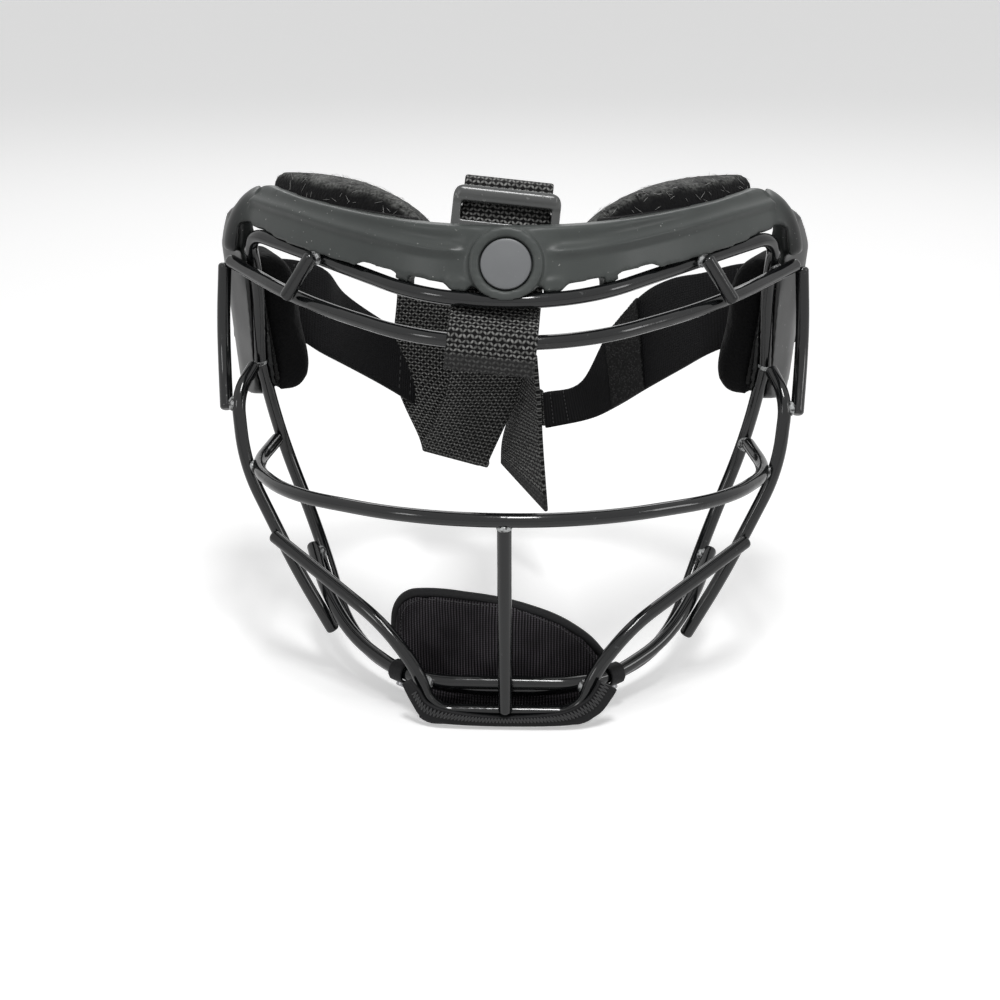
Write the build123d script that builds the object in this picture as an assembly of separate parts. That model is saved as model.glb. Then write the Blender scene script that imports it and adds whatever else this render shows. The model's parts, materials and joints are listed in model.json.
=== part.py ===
from build123d import *
import os
from math import cos, radians, sin, sqrt, tan

# Junior fielder's face guard. The origin lies on the midplane, on the line between
# the temples that the strap bars sit behind. The mask faces -Y, +X is the wearer's left.

# Wire cage
wire_diameter = 4.0
cage_proud = 7.6
cage_drop = 116.0
weld_sink = 0.15
end_round_share = 0.55
bend_share = 0.48

# Brow shell: widest and furthest out at the head of the arms, and drawn in at three other levels
shell_half_width = 90.5
shell_reach = 90.4
arm_head_level = 4.0
arm_tip_level = -44.0
arm_tip_inset = 4.0
arm_tip_setback = 6.4
brow_level = 15.4
brow_inset = 3.1
brow_setback = 3.8
shell_top_level = 30.0
shell_top_inset = 8.5
shell_top_setback = 9.4
shell_thickness = 4.5
arm_thickness = 6.5
band_height = 16.0
bar_slit = 0.4
wide_slit = 1.6
arm_drop = 41.0
arm_rear = 8.0
arm_corner_round = 9.0
clip_width = 4.5
clip_wall = 1.2
clip_front = 0.4

# Badge
badge_radius = 7.0
badge_gap = 0.2
badge_ring_width = 2.9
badge_ring_proud = 1.6
badge_sink = 0.8
badge_disc_proud = 1.0
badge_lean = 20.0

# Pads
pad_thickness = 13.0
pad_height = 20.0
pad_press = 2.0
patch_gap = 0.1
patch_bow = 0.5
patch_thickness = 1.2
forehead_patch_height = 7.0
forehead_patch_inner = 24.0
forehead_patch_outer = 62.0
temple_patch_height = 34.0
temple_patch_length = 20.0
pad_round_share = 0.32
temple_pad_thickness = 11.5
temple_pad_width = 21.0
temple_pad_height = 42.0
temple_pad_top = 3.0
temple_pad_middle = -14.0

# Straps
webbing_width = 24.0
webbing_thickness = 1.6
elastic_width = 25.0
elastic_thickness = 1.8
strap_level = -16.0
slot_width = 4.6
slot_bar_width = 4.5
slot_margin = 1.5
strap_bar_inset = 3.1
strap_bar_thickness = 4.2
strap_clearance = 0.3
strap_setback = 5.3
strap_lift = 0.9
strap_lean = 23.0
strap_tilt = 5.9
strap_end_drop = 7.5
strap_rise = 29.5
strap_split_radius = 16.0
strap_split_gap = 0.5
fold_radius = 4.0
harness_reach = 48.0
harness_drop = 80.0

# Tri-glide buckle
glide_width = 29.0
glide_length = 16.0
glide_bar = 3.4
glide_thickness = 2.4
glide_round = 1.0
glide_top_gap = 2.5

# Chin cup
cup_wall = 5.0
cup_shoulder = 16.5
cup_gap = 1.02
cup_side_gap = 11.7
cup_height = 33.2
cup_floor = 1.4
cup_floor_gap = 0.3
cup_floor_inset = 0.502
cup_piping = 3.2
cup_rim_diameter = 3.4
cup_tab_inset = 6.2
cup_tab_width = 5.0
cup_tab_thickness = 0.9
tab_clearance = 0.3
stud_diameter = 3.4
stud_height = 1.0

# General
overrun = 1.0
bisections = 40

wire_radius = wire_diameter / 2
lap = wire_diameter - weld_sink
cage_half_width = shell_half_width - arm_thickness
cage_reach = shell_reach + cage_proud
strap_bar_outer = shell_half_width - strap_bar_inset
strap_bar_inner = strap_bar_outer - strap_bar_thickness

# Shares of cage_half_width, cage_reach and cage_drop, one half of each wire
upper_wire_shares = [(0.912, 0.245, 0.25), (0.900, 0.29, 0.017), (0.914, 0.377, -0.119),
                     (0.643, 0.592, -0.095), (0.226, 0.908, -0.052)]
brow_bar_shares = [(1.0, 0.27, -0.024), (0.70, 0.607, 0.013), (0.24, 0.92, 0.043)]
lower_wire_shares = [(0.912, 0.245, 0.25), (0.860, 0.184, 0.474), (0.704, 0.275, 0.75),
                     (0.574, 0.53, 0.944), (0.274, 0.79, 0.968)]
cheek_wire_shares = [(0.974, 0.388, 0.306), (0.950, 0.43, 0.483), (0.764, 0.49, 0.758),
                     (0.634, 0.53, 0.914)]
mouth_bar_shares = [(0.913, 0.459, 0.483), (0.744, 0.755, 0.465), (0.262, 1.01, 0.447)]
jaw_front_shares = [(0.43, 0.77, 0.80), (0.30, 0.845, 0.90), (0.256, 0.865, 1.0)]
jaw_rear_shares = [(0.665, 0.485, 0.82), (0.55, 0.62, 0.90), (0.38, 0.75, 0.938),
                   (0.25, 0.833, 0.934)]
temple_wire_shares = [(1.036, 0.265, 0.13), (1.03, 0.31, 0.245)]

# Shares of the half width and the reach, from the side to the middle of the brow
brow_plan_shares = [(1.0, 0.25), (0.70, 0.655), (0.24, 1.0)]
arm_plan_shares = [(1.0, 0.10), (0.70, 0.655), (0.24, 1.0)]

# Places across the band, with how far the slit over the wire is open, and the top edge
band_low_shares = [(0, 0), (0.022, 0), (0.035, 0.7), (0.10, 0.8), (0.112, 0), (0.165, 0),
                   (0.18, 0.9), (0.43, 1), (0.46, 0), (1.0, 0)]
band_top_shares = [(1.0, 0.60), (0.96, 0.84), (0.91, 1.02), (0.86, 1.12), (0.79, 1.17), (0.63, 1.08),
                   (0.46, 1.04), (0.235, 1.01), (0, 1.0)]
clip_shares = [0, 0.152, 0.335, 0.72]

# Shares of the arm's depth and drop at the tip, and of its depth and height at the shoulder
arm_tip_shares = [(0.62, 1.0), (0.27, 1.0), (0.16, 0.92)]
arm_shoulder_shares = [(0.16, 0.24), (0.45, 0.47), (0.70, 0.68), (0.86, 0.82)]

# Directions round the brow in degrees and how full the forehead pad is there
pad_angles = [16.0, 22.0, 37.0, 55.0, 67.0]
pad_level_shares = [0.60, 0.72, 0.92, 0.99, 0.96]
pad_height_shares = [0.50, 0.76, 0.94, 0.92, 0.55]
pad_size_shares = [0.60, 0.85, 1.0, 0.95, 0.60]
temple_level_shares = [0, 0.08, 0.5, 0.9, 1.0]
temple_size_shares = [0.6, 0.9, 1.0, 0.92, 0.6]

# Strap edges as shares of the cage's half width, the harness's reach and its drop
left_elastic_shares = [
    ((0.833, 0.165, 0.06), (0.845, 0.085, 0.37)),
    ((0.715, 0.21, 0.10), (0.738, 0.085, 0.415)),
    ((0.595, 0.375, 0.15), (0.643, 0.29, 0.515)),
    ((0.488, 0.585, 0.25), (0.524, 0.54, 0.64)),
    ((0.369, 0.77, 0.44), (0.405, 0.71, 0.75)),
    ((0.262, 0.895, 0.675), (0.298, 0.81, 0.825)),
    ((0.107, 0.94, 0.73), (0.119, 0.875, 0.88)),
]
right_elastic_shares = [
    ((-0.833, 0.165, 0.055), (-0.845, 0.085, 0.355)),
    ((-0.726, 0.23, 0.10), (-0.738, 0.105, 0.425)),
    ((-0.667, 0.415, 0.225), (-0.643, 0.355, 0.53)),
    ((-0.524, 0.71, 0.39), (-0.536, 0.625, 0.65)),
    ((-0.405, 0.875, 0.49), (-0.417, 0.79, 0.765)),
]
top_strap_shares = [
    ((-0.19, 0.125, 0.185), (0.095, 0.125, 0.215)),
    ((-0.22, 0.33, 0.35), (0.07, 0.33, 0.35)),
    ((-0.25, 0.46, 0.53), (0.04, 0.46, 0.53)),
    ((-0.29, 0.54, 0.70), (0.0, 0.54, 0.70)),
    ((-0.37, 0.62, 0.90), (-0.105, 0.62, 0.97)),
    ((-0.38, 0.68, 0.94), (-0.11, 0.68, 1.01)),
    ((-0.40, 0.76, 0.90), (-0.12, 0.76, 0.97)),
    ((-0.50, 0.80, 0.62), (-0.21, 0.80, 0.66)),
    ((-0.47, 0.66, 0.25), (-0.18, 0.66, 0.27)),
]
link_shares = [
    ((-0.40, 0.93, 0.50), (-0.41, 0.85, 0.77)),
    ((-0.12, 1.0, 0.62), (-0.12, 0.93, 0.83)),
    ((0.11, 0.99, 0.73), (0.12, 0.925, 0.88)),
]
tail_shares = [
    ((0.022, 0.77, 0.46), (0.078, 0.30, 0.46)),
    ((0.01, 0.77, 0.66), (0.095, 0.31, 0.66)),
    ((-0.05, 0.78, 0.90), (0.11, 0.32, 0.88)),
    ((-0.06, 0.77, 1.02), (0.13, 0.35, 1.15)),
]

# Chin cup outline, seen from the front: shares of its half width and height, askew as worn
cup_shares = [(-0.80, 0), (-0.98, 0.42), (-0.97, 0.74), (-0.86, 0.92), (-0.60, 1.0), (0, 0.975),
              (0.43, 0.79), (0.69, 0.55), (0.82, 0.34), (0.84, 0)]

# How far the rim of the cup's floor lies out from the corners of the front jaw wire, in wires
cup_rim_shares = [(0.3255, 1.0045, 0.725), (0.672, 0.9065, 0.319)]


def cage(shares):
    """The place in millimetres of a point given as shares of the cage."""
    x, y, z = shares
    return Vector(x * cage_half_width, -y * cage_reach, -z * cage_drop)


def flipped(point):
    return Vector(-point.X, point.Y, point.Z)


def beside(point, x, y, z):
    """A point one welded wire pitch away from another wire's centre line."""
    return point + Vector(x, y, z).normalized() * lap


def between(first, last, share):
    return first + (last - first) * share


def whole(half):
    """A symmetric route from one half of it."""
    return half + [flipped(p) for p in reversed(half)]


def bend_radius(before, corner, after):
    """As large a bend as the two runs beside a corner allow."""
    run = min((corner - before).length, (after - corner).length)
    turn = radians((corner - before).get_angle(after - corner))
    return bend_share * run / tan(turn / 2)


def bend_radii(points):
    return [bend_radius(*three) for three in zip(points, points[1:], points[2:])]


def bent(points):
    """Straight runs joined by tangent bends."""
    return FilletPolyline(*points, radius=bend_radii(points))


def rounded_face(points, limit):
    """Closed outline whose corners are rounded, up to a limit."""
    count = len(points)
    radii = [min(limit, bend_radius(points[i - 1], points[i], points[(i + 1) % count]))
             for i in range(count)]
    return make_face(FilletPolyline(*points, radius=radii, close=True))


def rod(path, diameter=wire_diameter, rounded=True):
    """Round wire along a path, its ends rounded unless they butt on another wire."""
    bar = sweep(Plane(origin=path @ 0, z_dir=path % 0) * Circle(diameter / 2), path=path)
    if rounded:
        ends = bar.faces().filter_by(GeomType.PLANE).edges()
        bar = fillet(ends, diameter / 2 * end_round_share)
    return bar


def pair(name, solid):
    """The same piece on both sides, +X is the wearer's left."""
    return {f"{name}_left": solid, f"{name}_right": mirror(solid, about=Plane.YZ)}


def box_between(low, high):
    size = [h - l for l, h in zip(low, high)]
    centre = [(h + l) / 2 for l, h in zip(low, high)]
    return Pos(*centre) * Box(*size)


def ribbon(edges, thickness, ruled=False):
    """Flat strap lofted through stations, each given as the two edges of the strap."""
    sections = []
    centres = [between(a, b, 1 / 2) for a, b in edges]
    for i, (first, last) in enumerate(edges):
        before = centres[max(i - 1, 0)]
        after = centres[min(i + 1, len(centres) - 1)]
        out = (last - first).cross(after - before).normalized() * (thickness / 2)
        corners = [first - out, last - out, last + out, first + out]
        sections.append(make_face(Polyline(*corners, close=True)))
    return loft(sections, ruled=ruled)


# Wires

def wire_routes():
    """Centre lines of every wire, with the places where one is welded to another."""
    upper = [cage(s) for s in upper_wire_shares]
    lower = [cage(s) for s in lower_wire_shares]
    brow = [cage(s) for s in brow_bar_shares]
    cheek = [beside(upper[0], 0.35, -0.93, 0)] + [cage(s) for s in cheek_wire_shares]
    mouth_end = beside(between(lower[0], lower[1], 0.97), 0.1, -1, 0)
    jaw_start = beside(between(cheek[2], cheek[3], 0.62), 0.25, -0.97, 0)
    rear_start = beside(lower[2], 0.75, -0.62, 0.1)
    temple_top = beside(brow[0], 0.55, 0.75, -0.35)
    temple_end = beside(between(cheek[1], cheek[2], 0.22), 0.97, 0.2, 0)
    strut_top = beside(between(upper[3], upper[4], 0.03), 0.64, -0.77, 0)
    strut_foot = beside(between(brow[0], brow[1], 0.96), 0.74, -0.67, 0)
    reach = (strut_top - strut_foot).normalized() * wire_radius
    mouth = [mouth_end] + [cage(s) for s in mouth_bar_shares]
    jaw_front = [jaw_start] + [cage(s) for s in jaw_front_shares]
    under_mouth = Vector(0, mouth[-1].Y, mouth[-1].Z - wire_radius + weld_sink)
    chin_front = beside(Vector(0, jaw_front[-1].Y, jaw_front[-1].Z), 0, -0.93, 0.37)
    bow = between(under_mouth, chin_front, 1 / 2) - Vector(0, wire_radius / 2, 0)
    return {
        "upper": upper,
        "lower": lower,
        "brow": brow,
        "cheek": cheek,
        "mouth": mouth,
        "jaw_front": jaw_front,
        "jaw_rear": [rear_start] + [cage(s) for s in jaw_rear_shares],
        "temple": [temple_top] + [cage(s) for s in temple_wire_shares] + [temple_end],
        "strut": [strut_top + reach, strut_foot - reach],
        "centre": [under_mouth, bow, chin_front],
    }


routes = wire_routes()
upper_path = bent(whole(routes["upper"]))
rear_path = bent(whole(routes["jaw_rear"]))
lower_path = bent(whole(routes["lower"]))


def make_wires():
    wires = {
        "frame_wire_upper": rod(upper_path, rounded=False),
        "frame_wire_lower": rod(lower_path, rounded=False),
        "lower_brow_bar": rod(bent(whole(routes["brow"]))),
        "mouth_bar": rod(bent(whole(routes["mouth"]))),
        "jaw_bar_front": rod(bent(whole(routes["jaw_front"]))),
        "jaw_bar_rear": rod(rear_path),
        "centre_bar": rod(bent(routes["centre"])),
    }
    wires.update(pair("brow_strut", rod(Line(*routes["strut"]))))
    wires.update(pair("temple_wire", rod(bent(routes["temple"]))))
    wires.update(pair("cheek_wire", rod(bent(routes["cheek"]))))
    return wires


def place_at_x(path, x):
    """Point and direction of a symmetric wire where it crosses a place across the mask."""
    low, high = 1 / 2, 1.0
    sign = 1 if (path @ 1).X > 0 else -1
    for _ in range(bisections):
        middle = (low + high) / 2
        if (path @ middle).X * sign < x:
            low = middle
        else:
            high = middle
    return path @ low, path % low


# Brow shell

def plan_face(half_width, reach, back, level, shares):
    """D-shaped plan outline: round the brow in front, open straight sides behind."""
    half = [Vector(-half_width, back, level)]
    half += [Vector(-x * half_width, -y * reach, level) for x, y in shares]
    points = whole(half)
    radii = [0] + bend_radii(points) + [0]
    return make_face(FilletPolyline(*points, radius=radii, close=True))


def shell_form(inset, arm_inset, back):
    """The leaning form of the shell, drawn in by one inset at the brow, another at the arms."""
    levels = [(arm_tip_level, arm_tip_inset + arm_inset, arm_tip_setback + arm_inset, arm_plan_shares),
              (arm_head_level, inset, inset, arm_plan_shares),
              (brow_level, brow_inset + inset, brow_setback + inset, brow_plan_shares),
              (shell_top_level, shell_top_inset + inset, shell_top_setback + inset, brow_plan_shares)]
    return loft([plan_face(shell_half_width - aside, shell_reach - behind, back, level, shares)
                 for level, aside, behind, shares in levels], ruled=True)


def lining_form(depth):
    """The form inside the shell, a depth away from its inner face."""
    return shell_form(shell_thickness + depth, arm_thickness + depth, arm_rear + overrun)


inner_form = lining_form(0)
patch_form = lining_form(patch_gap)
pad_form = lining_form(2 * patch_gap + patch_thickness)


def inner_wall(origin, toward):
    """Where a line of sight from inside meets the pads' outer face, and the way inwards."""
    hits = pad_form.find_intersection_points(Axis(origin, toward))
    point, normal = max(hits, key=lambda hit: (hit[0] - Vector(*origin)).dot(Vector(*toward)))
    return point, normal * -1


def bar_height(x):
    """Height of the upper wire's centre line over a place across the brow."""
    points = [Vector(0, 0, routes["upper"][-1].Z)] + list(reversed(routes["upper"][2:]))
    for first, last in zip(points, points[1:]):
        if x <= last.X:
            return first.Z + (last.Z - first.Z) * (x - first.X) / (last.X - first.X)
    return points[-1].Z


band_foot = bar_height(0) + wire_radius + bar_slit


def top_outline():
    return [Vector(x * shell_half_width, 0, band_foot + z * band_height)
            for x, z in band_top_shares]


def front_prism(half, start, depth):
    """Both halves of a front outline, cut through from one place to a depth before it."""
    prism = extrude(Pos(0, start, 0) * make_face(Polyline(*half, close=True)), amount=depth,
                    dir=(0, -1, 0))
    return prism + mirror(prism, about=Plane.YZ)


def band_prism():
    """Front outline of the brow band, before the corner of the upper wire."""
    half = []
    for x_share, open_share in band_low_shares:
        x = x_share * shell_half_width
        half.append(Vector(x, 0, bar_height(x) + wire_radius + bar_slit + wide_slit * open_share))
    return front_prism(half + top_outline(), routes["upper"][2].Y, shell_reach)


def under_top():
    """Everything below the top edge of the shell."""
    foot = [Vector(0, 0, 2 * arm_tip_level), Vector(shell_half_width + overrun, 0, 2 * arm_tip_level),
            Vector(shell_half_width + overrun, 0, top_outline()[0].Z)]
    return front_prism(foot + top_outline(), arm_rear + overrun, shell_reach)


def arm_prism():
    """Side outline of both temple arms, with the strap bar behind, cut right across."""
    corner, tail, apex = routes["upper"][2], routes["upper"][1], routes["upper"][0]
    head = corner.Z + wire_radius + bar_slit
    top = shell_top_level
    outline = [Vector(0, corner.Y, top), Vector(0, corner.Y, head),
               Vector(0, tail.Y - wire_radius / 2, head),
               Vector(0, tail.Y - wire_radius / 2, tail.Z),
               Vector(0, apex.Y - wire_radius / 2, apex.Z)]
    outline += [Vector(0, corner.Y * y, -z * arm_drop) for y, z in arm_tip_shares]
    outline += [Vector(0, arm_rear, strap_level - slot_half - slot_bar_width),
                Vector(0, arm_rear, strap_level + slot_half + slot_bar_width)]
    outline += [Vector(0, corner.Y * y, top * z) for y, z in arm_shoulder_shares]
    face = rounded_face(outline, arm_corner_round)
    return extrude(face, amount=shell_half_width + overrun, both=True) & under_top()


slot_half = elastic_width / 2 + slot_margin
slot_rear = arm_rear - slot_bar_width
axis_y = arm_rear - slot_bar_width / 2


def strap_slots():
    """Slot in each arm for the elastic, and the flats either side of the strap bar."""
    low, high = strap_level - slot_half, strap_level + slot_half
    outside = shell_half_width + overrun
    inside = shell_half_width - 2 * arm_thickness - overrun
    slot = box_between((inside, slot_rear - slot_width, low), (outside, slot_rear, high))
    slot += box_between((strap_bar_outer, slot_rear - slot_width, low),
                        (outside, arm_rear + overrun, high))
    slot += box_between((inside, slot_rear - slot_width, low),
                        (strap_bar_inner, arm_rear + overrun, high))
    return slot + mirror(slot, about=Plane.YZ)


badge_plane = Plane(origin=(0, brow_setback - shell_reach, brow_level), x_dir=(1, 0, 0),
                    z_dir=(0, -cos(radians(badge_lean)), sin(radians(badge_lean))))


def raised(radius, foot, head):
    """Round boss on the badge's axis, between two heights over the shell's face."""
    return badge_plane * (Pos(0, 0, (foot + head) / 2) * Cylinder(radius, head - foot))


def clip_at(x):
    """Half collar behind and over the upper wire, which hangs from the band."""
    place, way = place_at_x(upper_path, x)
    level = Plane(origin=place, x_dir=Vector(way.X, way.Y, 0).normalized(), z_dir=(0, 0, 1))
    back = Vector(0, 1, 0) if level.y_dir.Y > 0 else Vector(0, -1, 0)
    rise = bar_slit + wide_slit + clip_wall
    radius = wire_radius + clip_wall
    collar = Rot(0, 90, 0) * Cylinder(radius, clip_width)
    neck = Pos(0, back.Y * radius / 2, (wire_radius + rise) / 2) * Box(
        clip_width, radius, wire_radius + rise)
    front = Pos(0, -back.Y * (radius + clip_front), 0) * Box(
        clip_width + overrun, 2 * radius, 4 * radius)
    below = Pos(0, 0, -2 * radius - wire_radius / 2) * Box(
        clip_width + overrun, 3 * radius, 4 * radius)
    return level * ((collar + neck) - front - below)


def make_shell(wires):
    shell = shell_form(0, 0, arm_rear) - inner_form
    shell = shell & (band_prism() + arm_prism())
    shell -= strap_slots()
    for x_share in clip_shares:
        clip = clip_at(x_share * cage_half_width)
        shell += clip
        if x_share > 0:
            shell += mirror(clip, about=Plane.YZ)
    shell += raised(badge_radius + badge_ring_width, -shell_thickness / 2, badge_ring_proud)
    shell -= raised(badge_radius + badge_gap, -badge_sink, badge_ring_proud + overrun)
    for wire in wires:
        shell -= wire
    return shell


def make_badge():
    disc = raised(badge_radius, -badge_sink, badge_disc_proud)
    rim = disc.edges().sort_by(Axis.Y)[0]
    return fillet(rim, badge_disc_proud / 2)


# Pads

def pad_section(point, inwards, across, thickness, height):
    """Rounded section of a pad, pressed a little way out through the wall it lies on."""
    centre = point + inwards * (thickness - pad_press) / 2
    plane = Plane(origin=centre, x_dir=inwards, z_dir=inwards.cross(across))
    return plane * RectangleRounded(thickness + pad_press, height, pad_round_share * thickness)


def make_forehead_pad():
    """Crowned lobe behind the band, drawn in at its ends."""
    sections = []
    for angle, level_share, height_share, size in zip(pad_angles, pad_level_shares,
                                                      pad_height_shares, pad_size_shares):
        toward = Vector(sin(radians(angle)), -cos(radians(angle)), 0)
        level = band_foot + level_share * band_height
        point, inwards = inner_wall((0, 0, level), toward)
        up = (Vector(0, 0, 1) - inwards * inwards.Z).normalized()
        sections.append(pad_section(point, inwards, up, pad_thickness * size,
                                    pad_height * height_share))
    return loft(sections) & pad_form


def make_temple_pad():
    """Thick block inside the arm, with rounded ends."""
    sections = []
    for z_share, size in zip(temple_level_shares, temple_size_shares):
        level = temple_pad_top - z_share * temple_pad_height
        point, inwards = inner_wall((0, temple_pad_middle, level), (1, 0, 0))
        flat = Vector(inwards.X, inwards.Y, 0).normalized()
        sections.append(pad_section(point, flat, Vector(-flat.Y, flat.X, 0),
                                    temple_pad_thickness * size,
                                    temple_pad_width * (1 + size) / 2))
    return loft(sections) & pad_form


def make_forehead_patch():
    """Hook patch between the band and the forehead pad."""
    level = band_foot + sum(pad_level_shares[1:3]) / 2 * band_height
    window = box_between((forehead_patch_inner, -shell_reach, level - forehead_patch_height / 2),
                         (forehead_patch_outer, 0, level + forehead_patch_height / 2))
    return (patch_form - lining_form(patch_gap + patch_thickness)) & window


def make_temple_patch():
    """Hook patch between the arm and the temple pad."""
    level = temple_pad_top - temple_pad_height / 2
    window = box_between((cage_half_width / 2, temple_pad_middle - temple_patch_length / 2,
                          level - temple_patch_height / 2),
                         (shell_half_width, temple_pad_middle + temple_patch_length / 2,
                          level + temple_patch_height / 2))
    return (patch_form - lining_form(patch_gap + patch_thickness)) & window


# Straps

def make_keeper():
    """Sewn loop of elastic round the strap bar of the arm."""
    play = strap_clearance
    low, high = strap_level - elastic_width / 2, strap_level + elastic_width / 2
    hole = box_between((strap_bar_inner - play, slot_rear - play, low - overrun),
                       (strap_bar_outer + play, arm_rear + play, high + overrun))
    skin = play + elastic_thickness
    loop = box_between((strap_bar_inner - skin, slot_rear - skin, low),
                       (strap_bar_outer + skin, arm_rear + skin, high))
    loop = fillet(loop.edges().filter_by(Axis.Z), elastic_thickness)
    return loop - hole


keeper_face = strap_bar_inner - strap_clearance - elastic_thickness


def harness(shares):
    """Edges of a strap given as shares of the cage's half width and the harness's sizes."""
    return [tuple(Vector(x * cage_half_width, y * harness_reach, -z * harness_drop)
                  for x, y, z in station) for station in shares]


def make_elastic(side, shares):
    """Elastic band from the keeper of one arm to the middle of the back."""
    start = side * (keeper_face - strap_clearance)
    low, high = strap_level - elastic_width / 2, strap_level + elastic_width / 2
    first = (Vector(start, axis_y, high), Vector(start, axis_y, low))
    return ribbon([first] + harness(shares), elastic_thickness)


def patch_on(edges):
    """Hook patch sewn on the front of an elastic, between two of its stations."""
    (a, b), (c, d) = edges
    out = (b - a).cross(c - a).normalized()
    if out.Y > 0:
        out = out * -1
    shift = out * (elastic_thickness / 2 + patch_bow + patch_thickness / 2)
    return ribbon([(a + shift, b + shift), (c + shift, d + shift)], patch_thickness, ruled=True)


tilt = Pos(0, 0, shell_top_level) * Rot(0, strap_tilt, 0) * Pos(0, 0, -shell_top_level)


def tilted(point):
    """A place moved with the top strap, which leans to one side over the brow."""
    return (tilt * Pos(*point)).position


def strap_route():
    """Y and Z of the top strap, from its free end in front of the lower brow bar to the split."""
    brow_y, brow_z = routes["brow"][-1].Y, routes["brow"][-1].Z
    bar = routes["upper"][-1]
    front = brow_y - wire_radius - strap_clearance - webbing_thickness
    rear = -shell_reach + shell_thickness + strap_setback
    points = [Vector(0, front, brow_z - strap_end_drop),
              Vector(0, front, brow_z + wire_radius + strap_lift),
              Vector(0, rear, bar.Z - wire_radius / 2), Vector(0, rear + wire_radius, bar.Z + wire_radius),
              Vector(0, rear + wire_radius + strap_rise * sin(radians(strap_lean)),
                     bar.Z + wire_radius + strap_rise * cos(radians(strap_lean)))]
    axis = Vector(0, axis_y, strap_level)
    way = (points[-1] - axis).normalized()
    return points, axis, way


def make_top_strap_front():
    points, axis, way = strap_route()
    points.append(axis + way * strap_split_radius)
    radii = [min(fold_radius, radius) for radius in bend_radii(points)]
    path = FilletPolyline(*points, radius=radii)
    plane = Plane(origin=path @ 0, x_dir=(1, 0, 0), z_dir=path % 0)
    return tilt * sweep(plane * Rectangle(webbing_width, webbing_thickness), path=path)


def make_top_strap_rear():
    """The strap behind the split, down to its folded end and up again behind itself."""
    points, axis, way = strap_route()
    top = axis + way * (strap_split_radius - strap_split_gap)
    half = webbing_width / 2
    edges = [(tilted(top - Vector(half, 0, 0)), tilted(top + Vector(half, 0, 0)))]
    return ribbon(edges + harness(top_strap_shares), webbing_thickness, ruled=True)


def make_glide():
    """Tri-glide: two bars in front of the strap, the middle bar behind it."""
    points, axis, way = strap_route()
    up = (points[-1] - points[-2]).normalized()
    centre = points[-1] - up * (glide_length / 2 + glide_top_gap)
    plane = Plane(origin=centre, x_dir=(1, 0, 0), z_dir=Vector(1, 0, 0).cross(up))
    depth = webbing_thickness / 2 + strap_clearance
    front = Pos(0, 0, depth + glide_thickness / 2)
    frame = front * extrude(
        RectangleRounded(glide_width, glide_length, glide_bar)
        - RectangleRounded(glide_width - glide_bar, glide_length - 2 * glide_bar, glide_round),
        amount=glide_thickness / 2, both=True)
    frame = fillet(frame.edges().group_by(Axis.Y)[0], glide_round / 2)
    side = glide_width / 2 - glide_bar / 4
    legs = [Pos(x, 0, 0) * Box(glide_bar / 2, glide_bar, 2 * depth + glide_thickness)
            for x in (-side, side)]
    bar = Pos(0, 0, -depth - glide_thickness / 4) * Box(glide_width, glide_bar, glide_thickness / 2)
    return tilt * (plane * (frame + legs + bar))


def make_tail():
    return ribbon(harness(tail_shares), webbing_thickness)


# Chin cup

cup_half_width = jaw_rear_shares[1][0] * cage_half_width - cup_side_gap
cup_radius = cup_half_width + cup_shoulder
cup_front = lower_wire_shares[-1][1] * cage_reach - wire_radius - cup_gap
cup_centre = cup_radius - cup_front
cup_foot = -cage_drop - wire_radius - cup_floor_gap - cup_floor
rim_corners = [corner + Vector(x, -y, -z) * wire_diameter
               for corner, (x, y, z) in zip(routes["jaw_front"][2:], cup_rim_shares)]
cup_floor_half_width = rim_corners[0].X - cup_floor_inset
cup_tab_place = cup_half_width - cup_tab_inset


def cup_depth(x, radius):
    """Y of the cup's wall at a radius over a place across the chin."""
    return cup_centre - sqrt(radius ** 2 - x ** 2)


def cup_outline():
    return [Vector(x * cup_half_width, 0, cup_foot + z * cup_height) for x, z in cup_shares]


def make_cup_binding():
    """Piping along the cup's upper edge."""
    middle = cup_radius - cup_wall / 2
    top = cup_outline()[1:-1]
    return rod(bent([Vector(p.X, cup_depth(p.X, middle), p.Z) for p in top]), cup_piping)


def make_cup_rim():
    """Stitched rim of the cup's floor, before and round the corners of the front jaw wire."""
    return rod(bent(whole(rim_corners)), cup_rim_diameter)


def make_cup(binding, rim, wires):
    """Padded chin cup: a wall behind the chin wires and a floor that reaches under them."""
    wall = Pos(0, cup_centre, cup_foot) * extrude(
        Circle(cup_radius) - Circle(cup_radius - cup_wall), amount=cup_height + overrun)
    face = rounded_face(cup_outline(), cup_half_width)
    front = extrude(Pos(0, cup_centre, 0) * face, amount=cup_radius + overrun, dir=(0, -1, 0))
    reach = -rim_corners[-1].Y - cup_rim_diameter / 2
    floor = box_between((-cup_floor_half_width, -reach, cup_foot),
                        (cup_floor_half_width, cup_wall - cup_front, cup_foot + cup_floor))
    corners = floor.edges().filter_by(Axis.Z).sort_by(Axis.Y)[:2]
    floor = fillet(corners, (reach - cup_front) / 2)
    cup = (wall & front) + floor
    for piece in [binding, rim] + wires:
        cup -= piece
    return cup


def tab_plane():
    """Square across the two rear chin wires beside the cup, and how far apart they are."""
    upper, way = place_at_x(rear_path, cup_tab_place)
    lower, _ = place_at_x(lower_path, cup_tab_place)
    apart = upper - lower
    apart = apart - way * apart.dot(way)
    return Plane(origin=lower + apart / 2, x_dir=apart, z_dir=way), apart.length


def make_cup_tab():
    """Loop of strap that holds the cup on the two rear chin wires."""
    plane, apart = tab_plane()
    hole = SlotCenterToCenter(apart, wire_diameter + 2 * tab_clearance)
    loop = SlotCenterToCenter(apart, wire_diameter + 2 * tab_clearance + 2 * cup_tab_thickness)
    return plane * extrude(loop - hole, amount=cup_tab_width / 2, both=True)


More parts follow.
